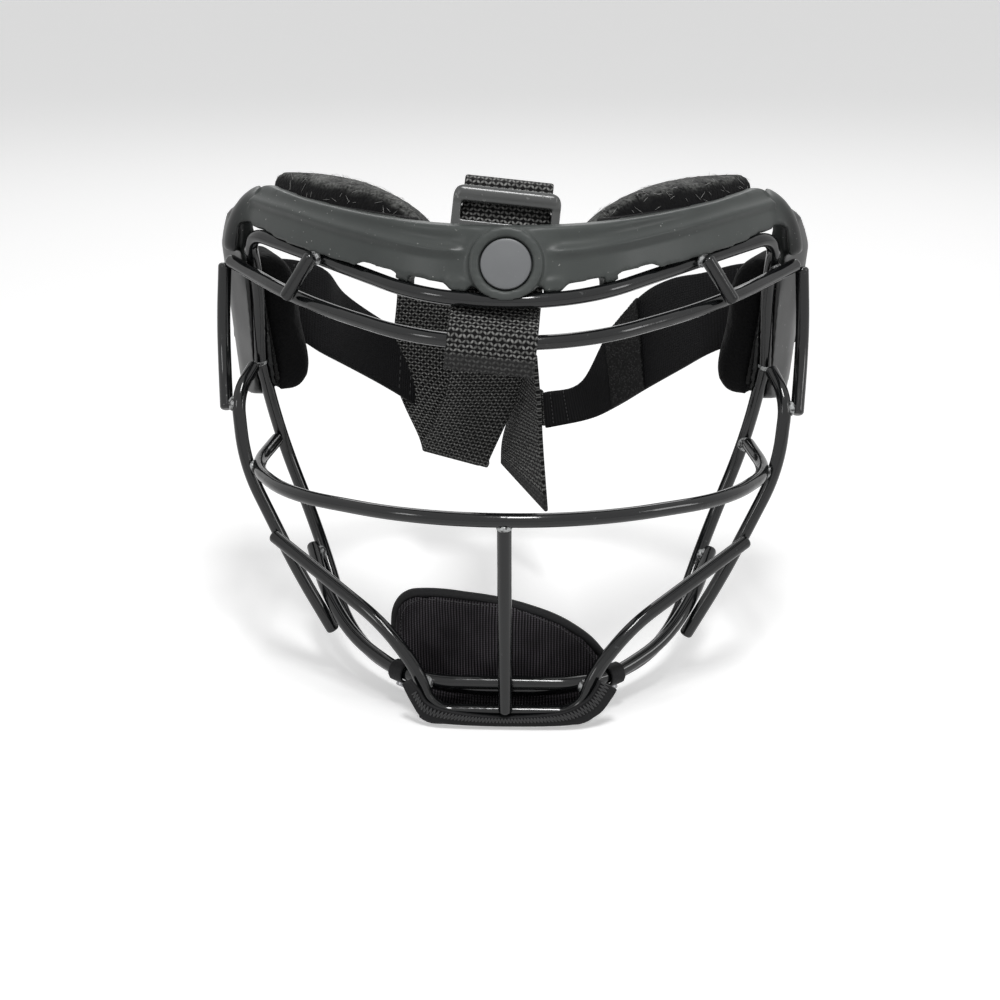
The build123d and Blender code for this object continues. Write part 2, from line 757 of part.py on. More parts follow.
def make_stud():
    """Snap on the outer face of a tab."""
    plane, _ = tab_plane()
    side = -1 if plane.y_dir.Y > 0 else 1
    height = wire_radius + tab_clearance + cup_tab_thickness
    stud = Rot(-90 * side, 0, 0) * Cylinder(stud_diameter / 2, stud_height)
    stud = fillet(stud.edges().sort_by(Axis.Y)[-1 if side > 0 else 0], stud_height / 2)
    return plane * (Pos(0, side * (height + stud_height / 2), 0) * stud)


def make_nodes():
    nodes = make_wires()
    nodes["brow_shell"] = make_shell([nodes["frame_wire_upper"], nodes["frame_wire_lower"],
                                      nodes["lower_brow_bar"]])
    nodes["badge_disc"] = make_badge()
    nodes.update(pair("forehead_pad", make_forehead_pad()))
    nodes.update(pair("forehead_patch", make_forehead_patch()))
    nodes.update(pair("temple_pad", make_temple_pad()))
    nodes.update(pair("temple_patch", make_temple_patch()))
    nodes.update(pair("strap_keeper", make_keeper()))
    nodes["elastic_strap_left"] = make_elastic(1, left_elastic_shares)
    nodes["elastic_strap_right"] = make_elastic(-1, right_elastic_shares)
    nodes["elastic_patch"] = patch_on(harness(left_elastic_shares[len(left_elastic_shares) // 2:])[:2])
    nodes["top_strap_front"] = make_top_strap_front()
    nodes["top_strap_rear"] = make_top_strap_rear()
    nodes["rear_link"] = ribbon(harness(link_shares), webbing_thickness)
    nodes["strap_tail"] = make_tail()
    nodes["tri_glide"] = make_glide()
    nodes["chin_cup_binding"] = make_cup_binding()
    nodes["chin_cup_rim"] = make_cup_rim()
    nodes["chin_cup"] = make_cup(nodes["chin_cup_binding"], nodes["chin_cup_rim"],
                                 [nodes["jaw_bar_front"], nodes["centre_bar"]])
    nodes.update(pair("chin_tab", make_cup_tab()))
    nodes.update(pair("snap_stud", make_stud()))
    return nodes


os.makedirs("parts", exist_ok=True)
for name, shape in make_nodes().items():
    export_step(shape, f"parts/{name}.step")
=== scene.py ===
# Softball face guard, junior size: the detailed pieces and finishes, laid over the plain model
import bpy
import json
from math import cos, exp, pi, radians, sin, tan
from mathutils import Matrix, Vector
from mathutils.bvhtree import BVHTree
from random import Random


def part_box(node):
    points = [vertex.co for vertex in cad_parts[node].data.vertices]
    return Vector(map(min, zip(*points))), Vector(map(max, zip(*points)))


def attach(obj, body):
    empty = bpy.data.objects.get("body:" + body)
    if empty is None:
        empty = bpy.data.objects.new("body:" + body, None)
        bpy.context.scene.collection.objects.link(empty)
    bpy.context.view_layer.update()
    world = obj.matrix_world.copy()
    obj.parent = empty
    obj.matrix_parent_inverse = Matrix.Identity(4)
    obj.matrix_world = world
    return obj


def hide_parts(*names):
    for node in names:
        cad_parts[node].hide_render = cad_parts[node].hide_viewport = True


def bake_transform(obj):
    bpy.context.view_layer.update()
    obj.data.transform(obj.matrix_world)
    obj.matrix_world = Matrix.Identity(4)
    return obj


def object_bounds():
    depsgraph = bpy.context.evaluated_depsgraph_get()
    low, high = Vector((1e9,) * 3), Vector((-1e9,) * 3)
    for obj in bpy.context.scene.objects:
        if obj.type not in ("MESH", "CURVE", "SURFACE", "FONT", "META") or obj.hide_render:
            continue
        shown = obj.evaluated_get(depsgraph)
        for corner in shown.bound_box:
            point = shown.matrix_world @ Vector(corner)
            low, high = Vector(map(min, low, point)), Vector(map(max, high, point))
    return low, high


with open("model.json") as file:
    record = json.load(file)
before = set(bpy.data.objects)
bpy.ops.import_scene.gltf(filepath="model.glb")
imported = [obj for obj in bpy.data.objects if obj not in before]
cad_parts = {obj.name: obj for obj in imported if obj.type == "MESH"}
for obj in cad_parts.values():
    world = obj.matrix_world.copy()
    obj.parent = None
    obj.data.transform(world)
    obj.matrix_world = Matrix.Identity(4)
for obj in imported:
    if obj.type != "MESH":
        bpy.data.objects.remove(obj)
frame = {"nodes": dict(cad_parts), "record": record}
cadLow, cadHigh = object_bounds()
cadNodes = frame["nodes"]
bpy.ops.object.select_all(action="DESELECT")
mm = 0.001
print("frame loaded", len(cadNodes), "nodes")


# Small helpers for the material nodes. Sockets are named, or i0, i1 for the first, the second
def startMaterial(name, base, roughness, **sockets):
    mat = bpy.data.materials.new(name)
    mat.use_nodes = True
    shader = mat.node_tree.nodes["Principled BSDF"]
    shader.inputs["Base Color"].default_value = (*base, 1)
    shader.inputs["Roughness"].default_value = roughness
    for socket, value in sockets.items():
        shader.inputs[socket.replace("_", " ")].default_value = value
    return mat, shader


def add(mat, kind, settings=None, **sockets):
    node = mat.node_tree.nodes.new("ShaderNode" + kind)
    for key, value in (settings or {}).items():
        setattr(node, key, value)
    for key, value in sockets.items():
        key = int(key[1:]) if key[0] == "i" and key[1:].isdigit() else key.replace("_", " ")
        if isinstance(value, bpy.types.NodeSocket):
            mat.node_tree.links.new(value, node.inputs[key])
        else:
            node.inputs[key].default_value = value
    return node


def math(mat, operation, a, b=0.0):
    return add(mat, "Math", {"operation": operation}, i0=a, i1=b).outputs[0]


def link(mat, source, target):
    mat.node_tree.links.new(source, target)


def objectPlace(mat):
    return add(mat, "TexCoord").outputs["Object"]


def clothPlace(mat):
    # millimetres across and along a strap, from its own UV map
    uv = add(mat, "UVMap", {"uv_map": "clothMap"})
    parts = add(mat, "SeparateXYZ", i0=uv.outputs[0])
    return parts.outputs[0], parts.outputs[1], uv.outputs[0]


def noiseOf(mat, place, scale, detail=2.0):
    return add(mat, "TexNoise", Vector=place, Scale=scale, Detail=detail).outputs[0]


def span(mat, value, fromLow, fromHigh, low=0.0, high=1.0):
    return add(mat, "MapRange", i0=value, i1=fromLow, i2=fromHigh, i3=low, i4=high).outputs[0]


def speckle(mat, place, size, share, detail=2.0):
    # scattered spots of about that size
    return span(mat, noiseOf(mat, place, 1 / size, detail), 1 - share, 1.04 - share)


def blendColour(mat, factor, first, second):
    node = add(mat, "Mix", {"data_type": "RGBA"})
    for index, value in ((0, factor), (6, first), (7, second)):
        if isinstance(value, bpy.types.NodeSocket):
            link(mat, value, node.inputs[index])
        else:
            node.inputs[index].default_value = value if index == 0 else (*value, 1)
    return node.outputs[2]


def bump(mat, shader, height, strength, distance):
    node = add(mat, "Bump", Height=height, Strength=strength, Distance=distance)
    link(mat, node.outputs[0], shader.inputs["Normal"])


def grain(mat, shader, place, scale, strength, depth, detail=2.0):
    # a finely uneven surface
    bump(mat, shader, noiseOf(mat, place, scale, detail), strength, depth)


wireLook = {"base": (0.0055, 0.006, 0.0065), "scuff": (0.026, 0.027, 0.028), "specular": 0.45,
            "roughness": 0.11, "worn": 0.38, "scuffs": {"size": 2.2 * mm, "share": 0.31, "detail": 4},
            "grain": {"scale": 240, "strength": 0.22, "depth": 0.25 * mm}}


def makeCoatedWire():
    look = wireLook
    mat, shader = startMaterial("coatedWire", look["base"], look["roughness"], Specular_IOR_Level=look["specular"])
    place = objectPlace(mat)
    scuffs = speckle(mat, place, **look["scuffs"])
    link(mat, blendColour(mat, scuffs, look["base"], look["scuff"]), shader.inputs["Base Color"])
    link(mat, span(mat, scuffs, 0, 1, look["roughness"], look["worn"]), shader.inputs["Roughness"])
    grain(mat, shader, place, **look["grain"])
    return mat


weldLook = {"base": (0.42, 0.43, 0.43), "dark": (0.03, 0.03, 0.031), "roughness": 0.16, "glintPatches": 900,
            "grain": {"scale": 1400, "strength": 0.5, "depth": 0.2 * mm, "detail": 3}}


def makeWeldCoatAndGlints():
    look = weldLook
    mat, shader = startMaterial("weldCoatAndGlints", look["base"], look["roughness"])
    place = objectPlace(mat)
    # painted highlight: near-white patches stand in for glints on the weld's glossy coat, set among patches of the
    # dark coat
    glintPatches = span(mat, noiseOf(mat, place, look["glintPatches"], 3), 0.42, 0.56)
    link(mat, blendColour(mat, glintPatches, look["dark"], look["base"]), shader.inputs["Base Color"])
    grain(mat, shader, place, **look["grain"])
    return mat


shellLook = {"base": (0.044, 0.049, 0.047), "pale": (0.060, 0.066, 0.063), "arm": (0.005, 0.0055, 0.0055),
             "dust": (0.42, 0.42, 0.40), "specular": 0.27, "glossiest": 0.30, "dullest": 0.44,
             "clouds": 38, "dustClouds": 60, "specks": {"size": 0.8 * mm, "share": 0.26, "detail": 1},
             "armTop": -4 * mm, "bandFoot": 9 * mm, "bandEnd": 74 * mm, "armSide": 82 * mm,
             "grain": {"scale": 2400, "strength": 0.16, "depth": 0.08 * mm}}


def makeShellPlastic():
    look = shellLook
    mat, shader = startMaterial("shellPlastic", look["base"], 0.4, Specular_IOR_Level=look["specular"])
    place = objectPlace(mat)
    cloudy = noiseOf(mat, place, look["clouds"], 3)
    colour = blendColour(mat, span(mat, cloudy, 0.35, 0.7), look["base"], look["pale"])
    # painted shade: the arms and the corners over them are painted darker than the band, a colour standing in for the
    # shade that falls on the sides
    parts = add(mat, "SeparateXYZ", i0=place)
    aside = math(mat, "ABSOLUTE", parts.outputs[0])
    high = span(mat, parts.outputs[2], look["armTop"], look["bandFoot"])
    front = math(mat, "MINIMUM", high, span(mat, aside, look["armSide"], look["bandEnd"]))
    colour = blendColour(mat, front, look["arm"], colour)
    patchy = span(mat, noiseOf(mat, place, look["dustClouds"]), 0.45, 0.6)
    dust = math(mat, "MULTIPLY", speckle(mat, place, **look["specks"]), patchy)
    link(mat, blendColour(mat, dust, colour, look["dust"]), shader.inputs["Base Color"])
    link(mat, span(mat, cloudy, 0.3, 0.7, look["glossiest"], look["dullest"]), shader.inputs["Roughness"])
    grain(mat, shader, place, **look["grain"])
    return mat


# painted reflection: the disc's pale grey is partly its own tone and partly a painted reflection of the light in
# front of it
badgeLook = {"base": (0.150, 0.155, 0.160), "dust": (0.26, 0.26, 0.26), "roughness": 0.36,
             "specks": {"size": 0.7 * mm, "share": 0.25, "detail": 1},
             "grain": {"scale": 900, "strength": 0.12, "depth": 0.05 * mm}}


def makeBadgeFace():
    look = badgeLook
    mat, shader = startMaterial("badgeFace", look["base"], look["roughness"])
    place = objectPlace(mat)
    dust = speckle(mat, place, **look["specks"])
    link(mat, blendColour(mat, dust, look["base"], look["dust"]), shader.inputs["Base Color"])
    grain(mat, shader, place, **look["grain"])
    return mat


padLook = {"wall": (0.0025, 0.0025, 0.0028), "foreheadLitNap": (0.125, 0.127, 0.122),
           "templeShadedNap": (0.012, 0.012, 0.0125), "specular": 0.15, "sheen": 0.08, "sheenRoughness": 0.4,
           "fibres": 1100, "tufts": 160, "litFrom": 0.38, "litTo": 0.62, "pile": 0.5 * mm}


def makePadPile(name, litNap):
    # painted light: the nap is painted pale where the pad faces up, a painted highlight on the brushed top, and its
    # walls stay black
    look = padLook
    mat, shader = startMaterial(name, look["wall"], 0.9, Specular_IOR_Level=look["specular"],
                                Sheen_Weight=look["sheen"], Sheen_Roughness=look["sheenRoughness"])
    place = objectPlace(mat)
    facing = add(mat, "SeparateXYZ", i0=add(mat, "TexCoord").outputs["Normal"]).outputs[2]
    fibres = noiseOf(mat, place, look["fibres"], 5)
    matted = noiseOf(mat, place, look["tufts"], 3)
    brushed = span(mat, math(mat, "MULTIPLY", fibres, matted), 0.16, 0.38)
    lit = math(mat, "MULTIPLY", span(mat, facing, look["litFrom"], look["litTo"]), brushed)
    link(mat, blendColour(mat, lit, look["wall"], litNap), shader.inputs["Base Color"])
    bump(mat, shader, fibres, 0.8, look["pile"])
    return mat


hookLook = {"base": (0.007, 0.007, 0.0075), "deep": (0.003, 0.003, 0.003), "tip": (0.022, 0.022, 0.022),
            "hooks": 1100, "relief": 0.4 * mm}


def makeHookTape():
    look = hookLook
    mat, shader = startMaterial("hookTape", look["base"], 0.7, Specular_IOR_Level=0.25)
    hooks = add(mat, "TexVoronoi", Vector=objectPlace(mat), Scale=look["hooks"])
    tips = span(mat, hooks.outputs[0], 0.1, 0.5, 1, 0)
    link(mat, blendColour(mat, tips, look["deep"], look["tip"]), shader.inputs["Base Color"])
    bump(mat, shader, tips, 0.9, look["relief"])
    return mat


# Knots of yarn lean left and right in turn, and every second row is set one knot over. The sizes
# are in millimetres, and up to "sealed" from the strap's start the knots are melted flat
weaveLook = {"across": 1.05, "along": 1.25, "lean": 0.45, "wide": 0.52, "high": 0.34, "sealed": 4.2,
             "fade": 0.8, "drift": 0.22, "strands": 34.0, "strandRelief": 0.06, "relief": 0.5 * mm,
             "deep": (0.0010, 0.0010, 0.0011), "yarn": (0.36, 0.36, 0.35), "melted": (0.022, 0.022, 0.022)}


def makeWebbingWeave():
    look = weaveLook
    mat, shader = startMaterial("webbingWeave", look["yarn"], 0.55, Specular_IOR_Level=0.12)
    across, along, uv = clothPlace(mat)
    drift = span(mat, noiseOf(mat, uv, 0.35, 2), 0, 1, -look["drift"], look["drift"])
    v = math(mat, "ADD", math(mat, "DIVIDE", along, look["along"]), drift)
    row = math(mat, "FLOOR", v)
    u = math(mat, "ADD", math(mat, "DIVIDE", across, look["across"]), row)
    way = span(mat, math(mat, "PINGPONG", math(mat, "FLOOR", u), 1.0), 0, 1, -look["lean"], look["lean"])
    cu = math(mat, "SUBTRACT", math(mat, "FRACT", u), 0.5)
    cv = math(mat, "SUBTRACT", math(mat, "FRACT", v), 0.5)
    cv = math(mat, "ADD", cv, math(mat, "MULTIPLY", cu, way))
    offWide = math(mat, "POWER", math(mat, "DIVIDE", math(mat, "ABSOLUTE", cu), look["wide"]), 2.0)
    offHigh = math(mat, "POWER", math(mat, "DIVIDE", math(mat, "ABSOLUTE", cv), look["high"]), 2.0)
    dome = span(mat, math(mat, "ADD", offWide, offHigh), 1.15, 0.15)
    worn = span(mat, noiseOf(mat, uv, 0.8, 3), 0.3, 0.7, 0.3, 1.0)
    strands = math(mat, "SINE", math(mat, "MULTIPLY", math(mat, "ADD", cu, cv), look["strands"]))
    sealed = span(mat, along, look["sealed"], look["sealed"] + look["fade"])
    # painted light: each knot's crown is painted bright as a painted highlight and the gaps between knots dark as
    # painted shade, over the weave's own pattern
    knotHighlight = math(mat, "MULTIPLY", math(mat, "MULTIPLY", dome, worn), span(mat, sealed, 0, 1, 0.22, 1))
    ground = blendColour(mat, sealed, look["melted"], look["deep"])
    link(mat, blendColour(mat, knotHighlight, ground, look["yarn"]), shader.inputs["Base Color"])
    raised = math(mat, "MULTIPLY", dome, span(mat, sealed, 0, 1, 0.3, 1))
    height = math(mat, "ADD", raised, math(mat, "MULTIPLY", strands, look["strandRelief"]))
    bump(mat, shader, height, 0.9, look["relief"])
    return mat


elasticLook = {"rib": 0.95, "cord": 0.7, "cordShare": 0.6, "relief": 0.25 * mm,
               "deep": (0.0014, 0.0014, 0.0016), "yarn": (0.0075, 0.0075, 0.0085)}


def makeElasticKnit():
    look = elasticLook
    mat, shader = startMaterial("elasticKnit", look["yarn"], 0.75, Specular_IOR_Level=0.18)
    across, along, _ = clothPlace(mat)
    cords = math(mat, "SINE", math(mat, "MULTIPLY", across, 2 * pi / look["cord"]))
    ribs = math(mat, "SINE", math(mat, "MULTIPLY", along, 2 * pi / look["rib"]))
    knit = span(mat, math(mat, "ADD", math(mat, "MULTIPLY", cords, look["cordShare"]), ribs), -1.2, 1.4)
    link(mat, blendColour(mat, knit, look["deep"], look["yarn"]), shader.inputs["Base Color"])
    bump(mat, shader, knit, 0.5, look["relief"])
    return mat


buckleLook = {"base": (0.062, 0.064, 0.063), "scuff": (0.12, 0.123, 0.12), "glossiest": 0.26, "dullest": 0.5,
              "scuffs": {"size": 1.4 * mm, "share": 0.36, "detail": 4},
              "grain": {"scale": 1500, "strength": 0.15, "depth": 0.05 * mm}}


def makeBucklePlastic():
    look = buckleLook
    mat, shader = startMaterial("bucklePlastic", look["base"], 0.2)
    place = objectPlace(mat)
    scuffs = speckle(mat, place, **look["scuffs"])
    link(mat, blendColour(mat, scuffs, look["base"], look["scuff"]), shader.inputs["Base Color"])
    link(mat, span(mat, scuffs, 0, 1, look["glossiest"], look["dullest"]), shader.inputs["Roughness"])
    grain(mat, shader, place, **look["grain"])
    return mat


studLook = {"base": (0.26, 0.26, 0.27), "glossiest": 0.16, "dullest": 0.34, "wear": 1800, "relief": 0.05 * mm}


def makeStudSteel():
    look = studLook
    mat, shader = startMaterial("studSteel", look["base"], 0.24, Metallic=1.0)
    worn = noiseOf(mat, objectPlace(mat), look["wear"])
    link(mat, span(mat, worn, 0, 1, look["glossiest"], look["dullest"]), shader.inputs["Roughness"])
    bump(mat, shader, worn, 0.2, look["relief"])
    return mat


knitLook = {"pitch": 0.86 * mm, "loop": 0.6 * mm, "loopShare": 0.45, "waver": 1.1 * mm, "relief": 0.35 * mm,
            "deep": (0.0014, 0.0012, 0.0016), "ridge": (0.115, 0.106, 0.118)}


def makeRibbedKnit():
    look = knitLook
    mat, shader = startMaterial("ribbedKnit", look["ridge"], 0.75, Specular_IOR_Level=0.1)
    place = objectPlace(mat)
    parts = add(mat, "SeparateXYZ", i0=place)
    x = math(mat, "ADD", parts.outputs[0], math(mat, "MULTIPLY", noiseOf(mat, place, 60, 1), look["waver"]))
    rib = math(mat, "SINE", math(mat, "MULTIPLY", x, 2 * pi / look["pitch"]))
    loops = math(mat, "SINE", math(mat, "MULTIPLY", parts.outputs[2], 2 * pi / look["loop"]))
    height = span(mat, math(mat, "ADD", rib, math(mat, "MULTIPLY", loops, look["loopShare"])), -0.6, 1.4)
    patchy = span(mat, noiseOf(mat, place, 90, 3), 0.3, 0.7, 0.35, 1.0)
    # painted light: the ridges are painted bright as a painted highlight and the hollows between them dark as painted
    # shade, with patchy noise in how bright
    lit = math(mat, "MULTIPLY", height, patchy)
    link(mat, blendColour(mat, lit, look["deep"], look["ridge"]), shader.inputs["Base Color"])
    bump(mat, shader, height, 0.8, look["relief"])
    return mat


trimLook = {"base": (0.008, 0.008, 0.009), "deep": (0.0025, 0.0025, 0.0028), "yarn": (0.013, 0.013, 0.014),
            "weave": 1500, "relief": 0.2 * mm}


def makeTrimCloth():
    look = trimLook
    mat, shader = startMaterial("trimCloth", look["base"], 0.6, Specular_IOR_Level=0.2)
    weave = noiseOf(mat, objectPlace(mat), look["weave"], 3)
    link(mat, blendColour(mat, weave, look["deep"], look["yarn"]), shader.inputs["Base Color"])
    bump(mat, shader, weave, 0.6, look["relief"])
    return mat


threadLook = {"dark": (0.028, 0.028, 0.029), "grey": (0.035, 0.035, 0.036), "lint": (0.34, 0.34, 0.33),
              "grain": {"scale": 3000, "strength": 0.5, "depth": 0.1 * mm}}


def makeThread(name, colour):
    mat, shader = startMaterial(name, colour, 0.5)
    grain(mat, shader, objectPlace(mat), **threadLook["grain"])
    return mat


finishes = {"coated_wire": makeCoatedWire(), "shell": makeShellPlastic(), "badge": makeBadgeFace(),
            "pad": makePadPile("foreheadPile", padLook["foreheadLitNap"]), "hook_patch": makeHookTape(),
            "elastic": makeElasticKnit(), "webbing": makeWebbingWeave(), "buckle": makeBucklePlastic(),
            "stud": makeStudSteel(), "chin_knit": makeRibbedKnit(), "chin_trim": makeTrimCloth()}
# painted shade: the temple pads get a copy of the pile with a far darker nap, for the shade on the pads at the sides
shadedTemplePile = makePadPile("shadedTemplePile", padLook["templeShadedNap"])
weldCoatAndGlints = makeWeldCoatAndGlints()
darkThread = makeThread("darkThread", threadLook["dark"])
greyThread = makeThread("greyThread", threadLook["grey"])
lintFibre = makeThread("lintFibre", threadLook["lint"])
print("materials made", len(bpy.data.materials))


def dress(piece, slotName, material=None):
    # the slot's own finish, or another in its place
    piece.data.materials.clear()
    piece.data.materials.append(material or finishes[slotName])


for part in frame["record"]["subparts"]:
    dress(cadNodes[part["node"]], part["material_slot"])


# Ways of making pieces
def pick(*pieces):
    bpy.ops.object.select_all(action="DESELECT")
    for piece in pieces:
        piece.select_set(True)
    bpy.context.view_layer.objects.active = pieces[0]


def newPiece(name):
    # the primitive just added, under its own name
    piece = bpy.context.active_object
    piece.name = piece.data.name = name
    return piece


def apply(piece, modifier):
    pick(piece)
    bpy.ops.object.modifier_apply(modifier=modifier.name)


def settle(piece):
    # the place goes into the mesh, the object stays at the origin
    pick(piece)
    bpy.ops.object.transform_apply(location=True, rotation=True, scale=True)


def smooth(piece, angle):
    pick(piece)
    bpy.ops.object.shade_smooth_by_angle(angle=radians(angle))


def roundEdges(piece, width, segments):
    edge = piece.modifiers.new("edge", "BEVEL")
    edge.width, edge.segments, edge.limit_method, edge.angle_limit = width, segments, "ANGLE", radians(50)
    apply(piece, edge)


def joined(name, *pieces):
    pick(*pieces)
    bpy.ops.object.join()
    return newPiece(name)


def editStep(piece, *steps):
    # edit mode operators on the whole mesh
    pick(piece)
    bpy.ops.object.mode_set(mode="EDIT")
    bpy.ops.mesh.select_all(action="SELECT")
    for step in steps:
        step()
    bpy.ops.object.mode_set(mode="OBJECT")


def copyOfNode(nodeName, name):
    # a merged copy of a CAD node's mesh, free to be changed
    piece = cadNodes[nodeName].copy()
    piece.data = piece.data.copy()
    piece.name = piece.data.name = name
    piece.parent = None
    for key in list(piece.keys()):
        del piece[key]
    bpy.context.scene.collection.objects.link(piece)
    pick(piece)
    bpy.ops.mesh.customdata_custom_splitnormals_clear()
    editStep(piece, lambda: bpy.ops.mesh.remove_doubles(threshold=2e-6))
    return piece


def soften(piece, rounds, weightAt=None):
    relax = piece.modifiers.new("relax", "SMOOTH")
    relax.factor, relax.iterations = 0.5, rounds
    if weightAt:
        group = piece.vertex_groups.new(name="soft")
        for v in piece.data.vertices:
            group.add([v.index], weightAt(v.co), "REPLACE")
        relax.vertex_group = group.name
    apply(piece, relax)


def remesh(piece, size, rounds=0):
    voxels = piece.modifiers.new("voxels", "REMESH")
    voxels.mode, voxels.voxel_size = "VOXEL", size
    apply(piece, voxels)
    if rounds:
        soften(piece, rounds)
    pick(piece)
    bpy.ops.object.shade_smooth()


def swell(piece, pressure, cap):
    # cloth pressure puffs the piece, and no point moves further than the cap
    start = [v.co.copy() for v in piece.data.vertices]
    cloth = piece.modifiers.new("puff", "CLOTH")
    cloth.settings.use_pressure = True
    cloth.settings.uniform_pressure_force = pressure
    cloth.settings.effector_weights.gravity = 0
    for step in range(1, 21):
        bpy.context.scene.frame_set(step)
    apply(piece, cloth)
    bpy.context.scene.frame_set(1)
    for v, home in zip(piece.data.vertices, start):
        move = v.co - home
        if move.length > cap:
            v.co = home + move.normalized() * cap
    finer = piece.modifiers.new("finer", "SUBSURF")
    finer.levels = finer.render_levels = 1
    apply(piece, finer)
    pick(piece)
    bpy.ops.object.shade_smooth()


def throughPoints(points, t):
    # smooth line through the points, t counts points from the first
    i = min(int(t), len(points) - 2)
    s = t - i
    b, c = points[i], points[i + 1]
    a = points[i - 1] if i > 0 else b * 2 - c
    d = points[i + 2] if i + 2 < len(points) else c * 2 - b
    return ((b * 2) + (c - a) * s + (a * 2 - b * 5 + c * 4 - d) * s * s
            + (b * 3 - a - c * 3 + d) * s * s * s) / 2


def evenStations(edges, step):
    # pairs of edge points at even spacing along a strap, from its listed pairs
    left, right = [Vector(a) * mm for a, b in edges], [Vector(b) * mm for a, b in edges]
    fine = [i / 24 for i in range(24 * (len(edges) - 1) + 1)]
    middle = [(throughPoints(left, t) + throughPoints(right, t)) / 2 for t in fine]
    run = [0.0]
    for p, q in zip(middle, middle[1:]):
        run.append(run[-1] + (q - p).length)
    count = max(2, round(run[-1] / step))
    pairs, k = [], 0
    for n in range(count + 1):
        want = run[-1] * n / count
        while k < len(run) - 2 and run[k + 1] < want:
            k += 1
        t = fine[k] + (fine[k + 1] - fine[k]) * (want - run[k]) / max(run[k + 1] - run[k], 1e-9)
        pairs.append((throughPoints(left, t), throughPoints(right, t)))
    return pairs


def outOf(pairs, row):
    # away from a strap's face at a row
    before, after = pairs[max(row - 1, 0)], pairs[min(row + 1, len(pairs) - 1)]
    a, b = pairs[row]
    return (b - a).cross((after[0] + after[1]) - (before[0] + before[1])).normalized()


def layStrap(name, pairs, width, thickness, across=8, crown=0.0):
    # a grid laid through pairs of edge points, then given its wall and rounded edges
    rows = len(pairs) - 1
    run = [0.0]
    for (a, b), (c, d) in zip(pairs, pairs[1:]):
        run.append(run[-1] + ((c + d) / 2 - (a + b) / 2).length)
    bpy.ops.object.select_all(action="DESELECT")
    bpy.ops.mesh.primitive_grid_add(x_subdivisions=across, y_subdivisions=rows, size=1, calc_uvs=True)
    strap = newPiece(name)
    uv = strap.data.uv_layers[0]
    uv.name = "clothMap"
    flat = {v.index: (v.co.x + 0.5, round((v.co.y + 0.5) * rows)) for v in strap.data.vertices}
    for loop in strap.data.loops:
        u, row = flat[loop.vertex_index]
        uv.data[loop.index].uv = (u * width / mm, run[row] / mm)
    for v in strap.data.vertices:
        u, row = flat[v.index]
        a, b = pairs[row]
        v.co = a.lerp(b, u) + outOf(pairs, row) * crown * (1 - (2 * u - 1) ** 2)
    wall = strap.modifiers.new("wall", "SOLIDIFY")
    wall.thickness, wall.offset = thickness, 0
    apply(strap, wall)
    roundEdges(strap, thickness * 0.35, 2)
    smooth(strap, 50)
    return strap


def onStrap(pairs, row, u, lift):
    # a place over a strap's face, between its rows
    i = int(min(max(row, 0), len(pairs) - 2))
    s = row - i
    (a, b), (c, d) = pairs[i], pairs[i + 1]
    return a.lerp(b, u).lerp(c.lerp(d, u), s) + outOf(pairs, i).lerp(outOf(pairs, i + 1), s) * lift


def seamAcross(pairs, row, count, lift):
    # a row of stitches across a strap, on both of its faces
    uFrom, uTo, fill = 0.05, 0.95, 0.62
    runs = []
    for k in range(count):
        u1, u2 = (uFrom + (uTo - uFrom) * (k + part) / count for part in (0, fill))
        for side in (lift, -lift):
            runs.append((onStrap(pairs, row, u1, side), onStrap(pairs, row, u2, side)))
    return runs


def sewn(name, runs, radius, material):
    # one long bead of thread is modelled, then copied along every run
    bpy.ops.object.select_all(action="DESELECT")
    bpy.ops.mesh.primitive_uv_sphere_add(segments=6, ring_count=5, radius=0.5)
    bead = newPiece(name + ".bead")
    editStep(bead, lambda: bpy.ops.transform.resize(value=(2 * radius, 2 * radius, 1)))
    copies = []
    for a, b in runs:
        one = bead.copy()
        one.data = bead.data.copy()
        turn = (b - a).to_track_quat("Z", "X").to_matrix().to_4x4()
        one.data.transform(Matrix.Translation((a + b) / 2) @ turn @ Matrix.Diagonal((1, 1, (b - a).length, 1)))
        bpy.context.scene.collection.objects.link(one)
        copies.append(one)
    bpy.data.objects.remove(bead)
    piece = joined(name, *copies)
    piece.data.materials.append(material)
    pick(piece)
    bpy.ops.object.shade_smooth()
    return piece


def boxAt(name, centre, size):
    # a block for a remeshed piece to start from, in millimetres
    bpy.ops.object.select_all(action="DESELECT")
    bpy.ops.mesh.primitive_cube_add(size=1, location=[c * mm for c in centre])
    block = newPiece(name)
    editStep(block, lambda: bpy.ops.transform.resize(value=[v * mm for v in size]))
    settle(block)
    return block


def surfaceOf(piece):
    # what finds the nearest place on a piece
    mesh = piece.data
    return BVHTree.FromPolygons([v.co for v in mesh.vertices], [p.vertices for p in mesh.polygons])


# Weld beads, one in the groove wherever two wires meet
weldSettings = {"reach": 0.6 * mm, "margin": 1 * mm, "every": 3, "middle": 8 * mm,
                "radius": 2.35 * mm, "flat": 0.55, "rough": 0.10 * mm}


def weldSpots():
    # two wires can meet at the left, at the right and in the middle
    s, far = weldSettings, 200 * mm
    wires = [part["node"] for part in frame["record"]["subparts"] if part["material_slot"] == "coated_wire"]
    surfaces = {name: surfaceOf(cadNodes[name]) for name in wires}
    zones = ((s["middle"], far), (-far, -s["middle"]), (-s["middle"], s["middle"]))
    spots = []
    for i, first in enumerate(wires):
        for second in wires[i + 1:]:
            low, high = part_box(second)
            near = [v for v in list(cadNodes[first].data.vertices)[::s["every"]]
                    if all(a - s["margin"] < c < b + s["margin"] for a, c, b in zip(low, v.co, high))
                    and surfaces[second].find_nearest(v.co, s["reach"])[0] is not None]
            for left, right in zones:
                group = [v for v in near if left <= v.co.x < right]
                if group:
                    spots.append((sum((v.co for v in group), Vector()) / len(group),
                                  sum((v.normal for v in group), Vector()).normalized()))
    return spots


